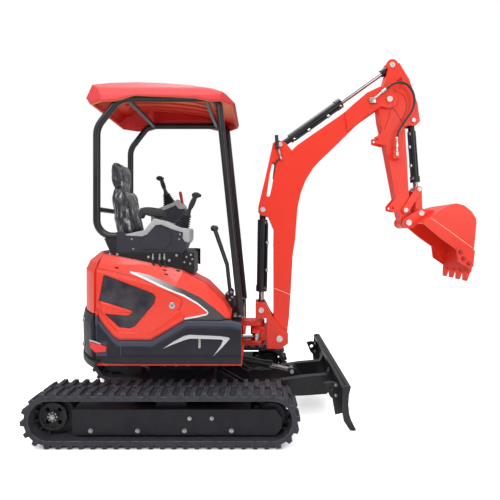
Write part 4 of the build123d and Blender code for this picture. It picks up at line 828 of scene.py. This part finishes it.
# Control sticks and levers: ribbed rubber bellows under a moulded grip with a
# bulb top, a red safety lever, and two travel levers in rubber boots behind a
# small bolted guard.
bellows_rubber = finish("bellows_rubber", (0.016, 0.016, 0.020), (0.024, 0.024, 0.029), 0.5, grain=500.0,
                        depth=0.1, edge=0.002, patch=30.0, rubbed_and_painted_highlight_tone=(0.16, 0.16, 0.18), rubbing_and_painted_highlight=0.9, shine=0.3)
bellows = [(0.0001, 0.0), (0.062, 0.0), (0.062, 0.005)]
for number in range(7):
    wide = 0.060 - 0.0045 * number
    bellows += [(wide - 0.010, 0.006 + 0.0155 * number), (wide, 0.012 + 0.0155 * number),
                (wide, 0.015 + 0.0155 * number)]
bellows += [(0.022, 0.120), (0.016, 0.138), (0.013, 0.160), (0.017, 0.172), (0.019, 0.205), (0.016, 0.240)]
bellows += [(0.017, 0.252), (0.0001, 0.262)]
for label, foot, top in (("right", (-0.598, -0.315, 1.350), (-0.485, -0.315, 1.603)),
                         ("left", (-0.812, 0.315, 1.549), (-0.900, 0.315, 1.809))):
    work = bmesh.new()
    turned(work, towards(foot, Vector(top) - Vector(foot)), bellows, 28)
    bulb = Matrix.LocRotScale(Vector(top) - Vector((0.006, 0, 0.014)), None, Vector((0.030, 0.024, 0.021)))
    bmesh.ops.create_uvsphere(work, u_segments=20, v_segments=12, radius=1.0, matrix=bulb)
    nose = Matrix.LocRotScale(Vector(top) + Vector((0.016, 0, -0.016)), None, Vector((0.016, 0.018, 0.013)))
    bmesh.ops.create_uvsphere(work, u_segments=16, v_segments=10, radius=1.0, matrix=nose)
    grip = piece(label + "_control_stick", work, bellows_rubber, "house")
    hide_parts(label + "_stick")
lever_black = finish("lever_black", (0.014, 0.014, 0.015), (0.022, 0.022, 0.024), 0.34, coat=0.2, grain=200.0,
                     depth=0.05, edge=0.003)
dress(lever_black, "travel_levers")
dress(finish("safety_red", (0.45, 0.010, 0.016), (0.36, 0.008, 0.012), 0.35, coat=0.4, grain=300.0, depth=0.05,
             edge=0.002),
      "safety_lever")
work = bmesh.new()
turned(work, towards((-0.7045, 0.268, 1.592), (-0.0135, 0, 0.072)),
       [(0.0001, 0.0), (0.009, 0.0), (0.0125, 0.02), (0.0135, 0.06), (0.012, 0.082), (0.0001, 0.088)], 20)
piece("safety_grip", work, bpy.data.materials["safety_red"], "house")
work = bmesh.new()
for y in (-0.06, 0.06):
    boot = [(0.045, 0.0), (0.045, 0.006), (0.036, 0.010), (0.038, 0.018), (0.028, 0.024), (0.030, 0.032),
            (0.020, 0.040)]
    boot += [(0.021, 0.048), (0.012, 0.060), (0.0105, 0.062)]
    turned(work, towards((-0.265, y, 0.780), (-0.035, 0, 0.32)), boot, 20)
piece("travel_lever_boots", work, bellows_rubber, "house")
work = bmesh.new()
panel(work, [(-0.290, 0.742), (-0.235, 0.742), (-0.228, 0.930), (-0.245, 0.945), (-0.290, 0.905)], -0.292, -0.300,
      0.001)
piece("lever_guard", work, base_black, "house")
work = bmesh.new()
for x, z in ((-0.272, 0.905), (-0.246, 0.915), (-0.258, 0.860), (-0.240, 0.880)):
    bolt(work, (x, -0.300, z), (0, -1, 0), 0.006, 0.006)
piece("lever_guard_bolts", work, zinc, "house")

# Canopy: two bent gloss black tubes with cross bars, and an arched red moulded
# roof with ribs on its underside.
tube_paint = finish("tube_paint", (0.012, 0.011, 0.014), (0.017, 0.016, 0.019), 0.30, coat=0.15, grain=120.0,
                    depth=0.02, edge=0.002, patch=8.0, shine=0.4)
dress(tube_paint, "hoop_left", "hoop_right", "cross_bars")
# The roof's tone, pinker than the red paint, is partly a painted highlight from above.
roof_plastic = finish("roof_plastic", (0.86, 0.080, 0.084), (0.82, 0.070, 0.074), 0.42, coat=0.05, grain=90.0,
                      depth=0.02, edge=0.03, patch=2.0, shine=0.22)
tree = roof_plastic.node_tree
shader = tree.nodes["Principled BSDF"]
lie = tree.nodes.new("ShaderNodeSeparateXYZ")
tree.links.new(tree.nodes.new("ShaderNodeNewGeometry").outputs["Normal"], lie.inputs[0])
# Painted light and shade on the underside: downward faces are painted a darker red as shade, and on the near side
# a light orange as light.
painted_light_reach = remap(tree, axes_of(tree)["Y"], 0.30, -0.25)
downward_painted_light = sums(tree, "MULTIPLY", remap(tree, lie.outputs["Z"], -0.55, -0.9), painted_light_reach)
skin = shader.inputs["Base Color"].links[0].from_socket
downward_painted_shade = remap(tree, lie.outputs["Z"], 0.05, -0.15)
skin = mix_colours(tree, downward_painted_shade, skin, (0.55, 0.010, 0.008))
tree.links.new(mix_colours(tree, downward_painted_light, skin, (0.90, 0.22, 0.06)), shader.inputs["Base Color"])
dress(roof_plastic, "canopy_roof")
work = bmesh.new()
rail_z = 2.250
inside = [(-1.110, 0.086), (-1.000, 0.104), (-0.907, 0.1075), (-0.730, 0.0995), (-0.552, 0.0785), (-0.440, 0.054)]
for y in (-0.25, -0.15, -0.05, 0.05, 0.15, 0.25):
    lower = [(x, rail_z + z - 0.012) for x, z in inside]
    upper = [(x, rail_z + z + 0.002) for x, z in reversed(inside)]
    panel(work, lower + upper, y - 0.007, y + 0.007)
piece("roof_ribs", work, roof_plastic, "house")
work = bmesh.new()
for side in (-1, 1):
    for x, y in ((-0.218, 0.375), (-0.186, 0.375), (-0.218, 0.315), (-0.186, 0.315)):
        bolt(work, (x, side * y, 0.762), (0, 0, 1), 0.008, 0.008)
piece("canopy_bolts", work, zinc, "house")

# Swing post, boom and arm: red welded steel held by pale greased pins with
# keeper bolts.
dress(red_paint, "swing_post", "boom", "arm", "bucket", "bucket_link", "tipping_links")


def pin_cap(work, x, y, z, radius):
    out = 1 if y > 0 else -1
    turned(work, towards((x, y, z), (0, out, 0)),
           [(0.0001, 0.007), (radius * 0.2, 0.007), (radius * 0.24, 0.004), (radius * 0.7, 0.004),
            (radius * 0.74, 0.0055), (radius * 0.95, 0.0055), (radius * 1.05, 0.003), (radius * 1.05, -0.002),
            (0.0001, -0.002)], 28)


pin_steel = finish("pin_steel", (0.78, 0.76, 0.74), (0.62, 0.60, 0.58), 0.32, metal=0.45, grain=300.0, depth=0.06,
                   edge=0.001, patch=30.0)
for body, caps in (
    ("post", ((0.100, 0.098, 0.531, 0.024), (-0.037, 0.092, 0.745, 0.020))),
    ("boom", ((-0.024, 0.065, 1.504, 0.019), (0.107, 0.065, 1.998, 0.017), (0.932, 0.087, 2.336, 0.021))),
    ("arm", ((0.965, 0.050, 2.610, 0.020), (1.124, 0.058, 2.186, 0.016), (1.060, 0.072, 1.500, 0.017))),
    ("tipping", ((1.163, 0.070, 1.658, 0.016),)),
    ("bucket", ((1.169, 0.094, 1.475, 0.020), (1.070, 0.102, 1.404, 0.021))),
    ("undercarriage", ((-0.170, 0.204, 0.165, 0.019), (-0.270, 0.050, 0.365, 0.015))),
    ("dozer", ((0.198, 0.043, 0.266, 0.015),)),
):
    work = bmesh.new()
    for x, y, z, radius in caps:
        pin_cap(work, x, y, z, radius)
        pin_cap(work, x, -y, z, radius)
    piece("pin_caps_" + body, work, pin_steel, body)

# The weld beads are pale pink: a painted highlight along them.
weld_highlight_red = finish("weld_highlight_red", (0.95, 0.50, 0.45), (0.90, 0.40, 0.35), 0.5, grain=300.0, depth=0.2, edge=0.001)
for side, label in SIDES:
    y = side * 0.0572
    routed("boom_weld_" + label, [(0.062, y, 0.905), (0.100, y, 0.892), (0.150, y, 0.871), (0.187, y, 0.853)],
           0.0026, weld_highlight_red, "boom")
boss_edge = [(0.972, 2.412), (1.005, 2.404), (1.036, 2.388), (1.060, 2.362), (1.073, 2.320), (1.072, 2.280),
             (1.060, 2.238), (1.034, 2.186)]
web_edge = [(0.905, 2.120), (0.918, 2.150), (0.940, 2.225), (0.948, 2.262), (0.963, 2.281), (0.984, 2.268),
            (1.026, 2.194), (1.056, 2.140)]
# Thin darker red lines along the arm's boss and web plates: painted shade at their edges.
for side, label in SIDES:
    y = side * 0.050
    routed("arm_boss_edge_" + label, [(x, y, z) for x, z in boss_edge], 0.0026, crease_shade_red, "arm")
    routed("arm_web_edge_" + label, [(x, y, z) for x, z in web_edge], 0.0026, crease_shade_red, "arm")
routed("boom_sleeve", [(0.079, -0.0715, 2.066), (0.081, -0.0715, 2.030), (0.084, -0.0715, 1.965)], 0.0135,
       hose_rubber, "boom", 5)
work = bmesh.new()
turned(work, towards((0.117, -0.068, 1.880), (-0.022, 0, 0.085)),
       [(0.0001, 0.0), (0.010, 0.0), (0.010, 0.018), (0.0075, 0.022), (0.0075, 0.040), (0.0115, 0.044),
        (0.0115, 0.062), (0.009, 0.066), (0.009, 0.086), (0.0001, 0.087)], 6)
piece("boom_sleeve_fitting", work, bright_steel, "boom")
routed("boom_slot_line", [(0.106, -0.066, 1.890), (0.082, -0.064, 1.878), (0.068, -0.061, 1.852),
                          (0.062, -0.045, 1.800), (0.056, -0.030, 1.740)], 0.005, hose_rubber, "boom")

# Bucket: red welded plate with four teeth; a weld runs down each side, and three
# painted bolts hold each side cutter.
work = bmesh.new()
for side in (-1, 1):
    for x, z in ((1.402, 1.190), (1.424, 1.142), (1.462, 1.106)):
        bolt(work, (x, side * 0.207, z), (0, side, 0), 0.012, 0.010)
# The cutter bolts take the same darker red: painted shade.
piece("cutter_bolts", work, crease_shade_red, "bucket")
# The bucket's welds take the same painted highlight.
for side, label in SIDES:
    y = side * 0.1955
    routed("bucket_weld_" + label, [(1.193, y, 1.436), (1.290, y, 1.368), (1.400, y, 1.288), (1.494, y, 1.218)],
           0.0024, weld_highlight_red, "bucket")

# Studio: a pale floor that keeps the soft shadow, plain white beyond it, one
# broad key lamp over the left shoulder, a fill and a top lamp.
floor_mesh = bmesh.new()
bmesh.ops.create_grid(floor_mesh, x_segments=1, y_segments=1, size=30.0)
sheet = bpy.data.meshes.new("studio_floor")
floor_mesh.to_mesh(sheet)
floor_mesh.free()
studio_floor = bpy.data.objects.new("studio_floor", sheet)
studio_floor.location = (0, 0, -0.001)
scene.collection.objects.link(studio_floor)
pale = bpy.data.materials.new("pale_floor")
pale.use_nodes = True
tree = pale.node_tree
shader = tree.nodes["Principled BSDF"]
shader.inputs["Base Color"].default_value = (0.86, 0.86, 0.86, 1.0)
shader.inputs["Roughness"].default_value = 0.9
shader.inputs["Emission Color"].default_value = (1.0, 1.0, 1.0, 1.0)
rays = tree.nodes.new("ShaderNodeLightPath")
spot = axes_of(tree)
# The floor's own glow stops in two strips under the tracks: a painted contact shadow.
beside_x = sums(tree, "ABSOLUTE", sums(tree, "ADD", spot["X"], 0.66))
beside_y = sums(tree, "ABSOLUTE", sums(tree, "SUBTRACT", sums(tree, "ABSOLUTE", spot["Y"]), track_y))
beyond_painted_shadow = sums(tree, "MAXIMUM", remap(tree, beside_x, 0.70, 0.80), remap(tree, beside_y, 0.10, 0.135))
glow_beyond_painted_shadow = sums(tree, "MULTIPLY", rays.outputs["Is Camera Ray"], beyond_painted_shadow)
tree.links.new(sums(tree, "MULTIPLY", glow_beyond_painted_shadow, 0.62), shader.inputs["Emission Strength"])
sheet.materials.append(pale)
world = bpy.data.worlds.new("studio")
scene.world = world
world.use_nodes = True
tree = world.node_tree
rays = tree.nodes.new("ShaderNodeLightPath")
seen = sums(tree, "MAXIMUM", rays.outputs["Is Camera Ray"], rays.outputs["Is Transmission Ray"])
height = remap(tree, axes_of(tree, "Generated")["Z"], -0.1, 0.9, 0.16, 0.95)
sky = tree.nodes["Background"]
sky.inputs["Color"].default_value = (1.0, 1.0, 1.0, 1.0)
tree.links.new(sums(tree, "MAXIMUM", height, seen), sky.inputs["Strength"])
for name, place, size, power in (("key", (-2.2, -3.8, 4.4), 2.6, 95.0), ("fill", (3.2, -3.2, 2.4), 2.4, 40.0),
                                 ("top", (-0.2, 0.2, 5.2), 3.0, 120.0)):
    lamp = bpy.data.lights.new(name, "AREA")
    lamp.size = size
    lamp.energy = power
    holder = bpy.data.objects.new(name, lamp)
    holder.location = place
    holder.rotation_euler = (Vector((0, 0, 1.1)) - Vector(place)).to_track_quat("-Z", "Y").to_euler()
    scene.collection.objects.link(holder)
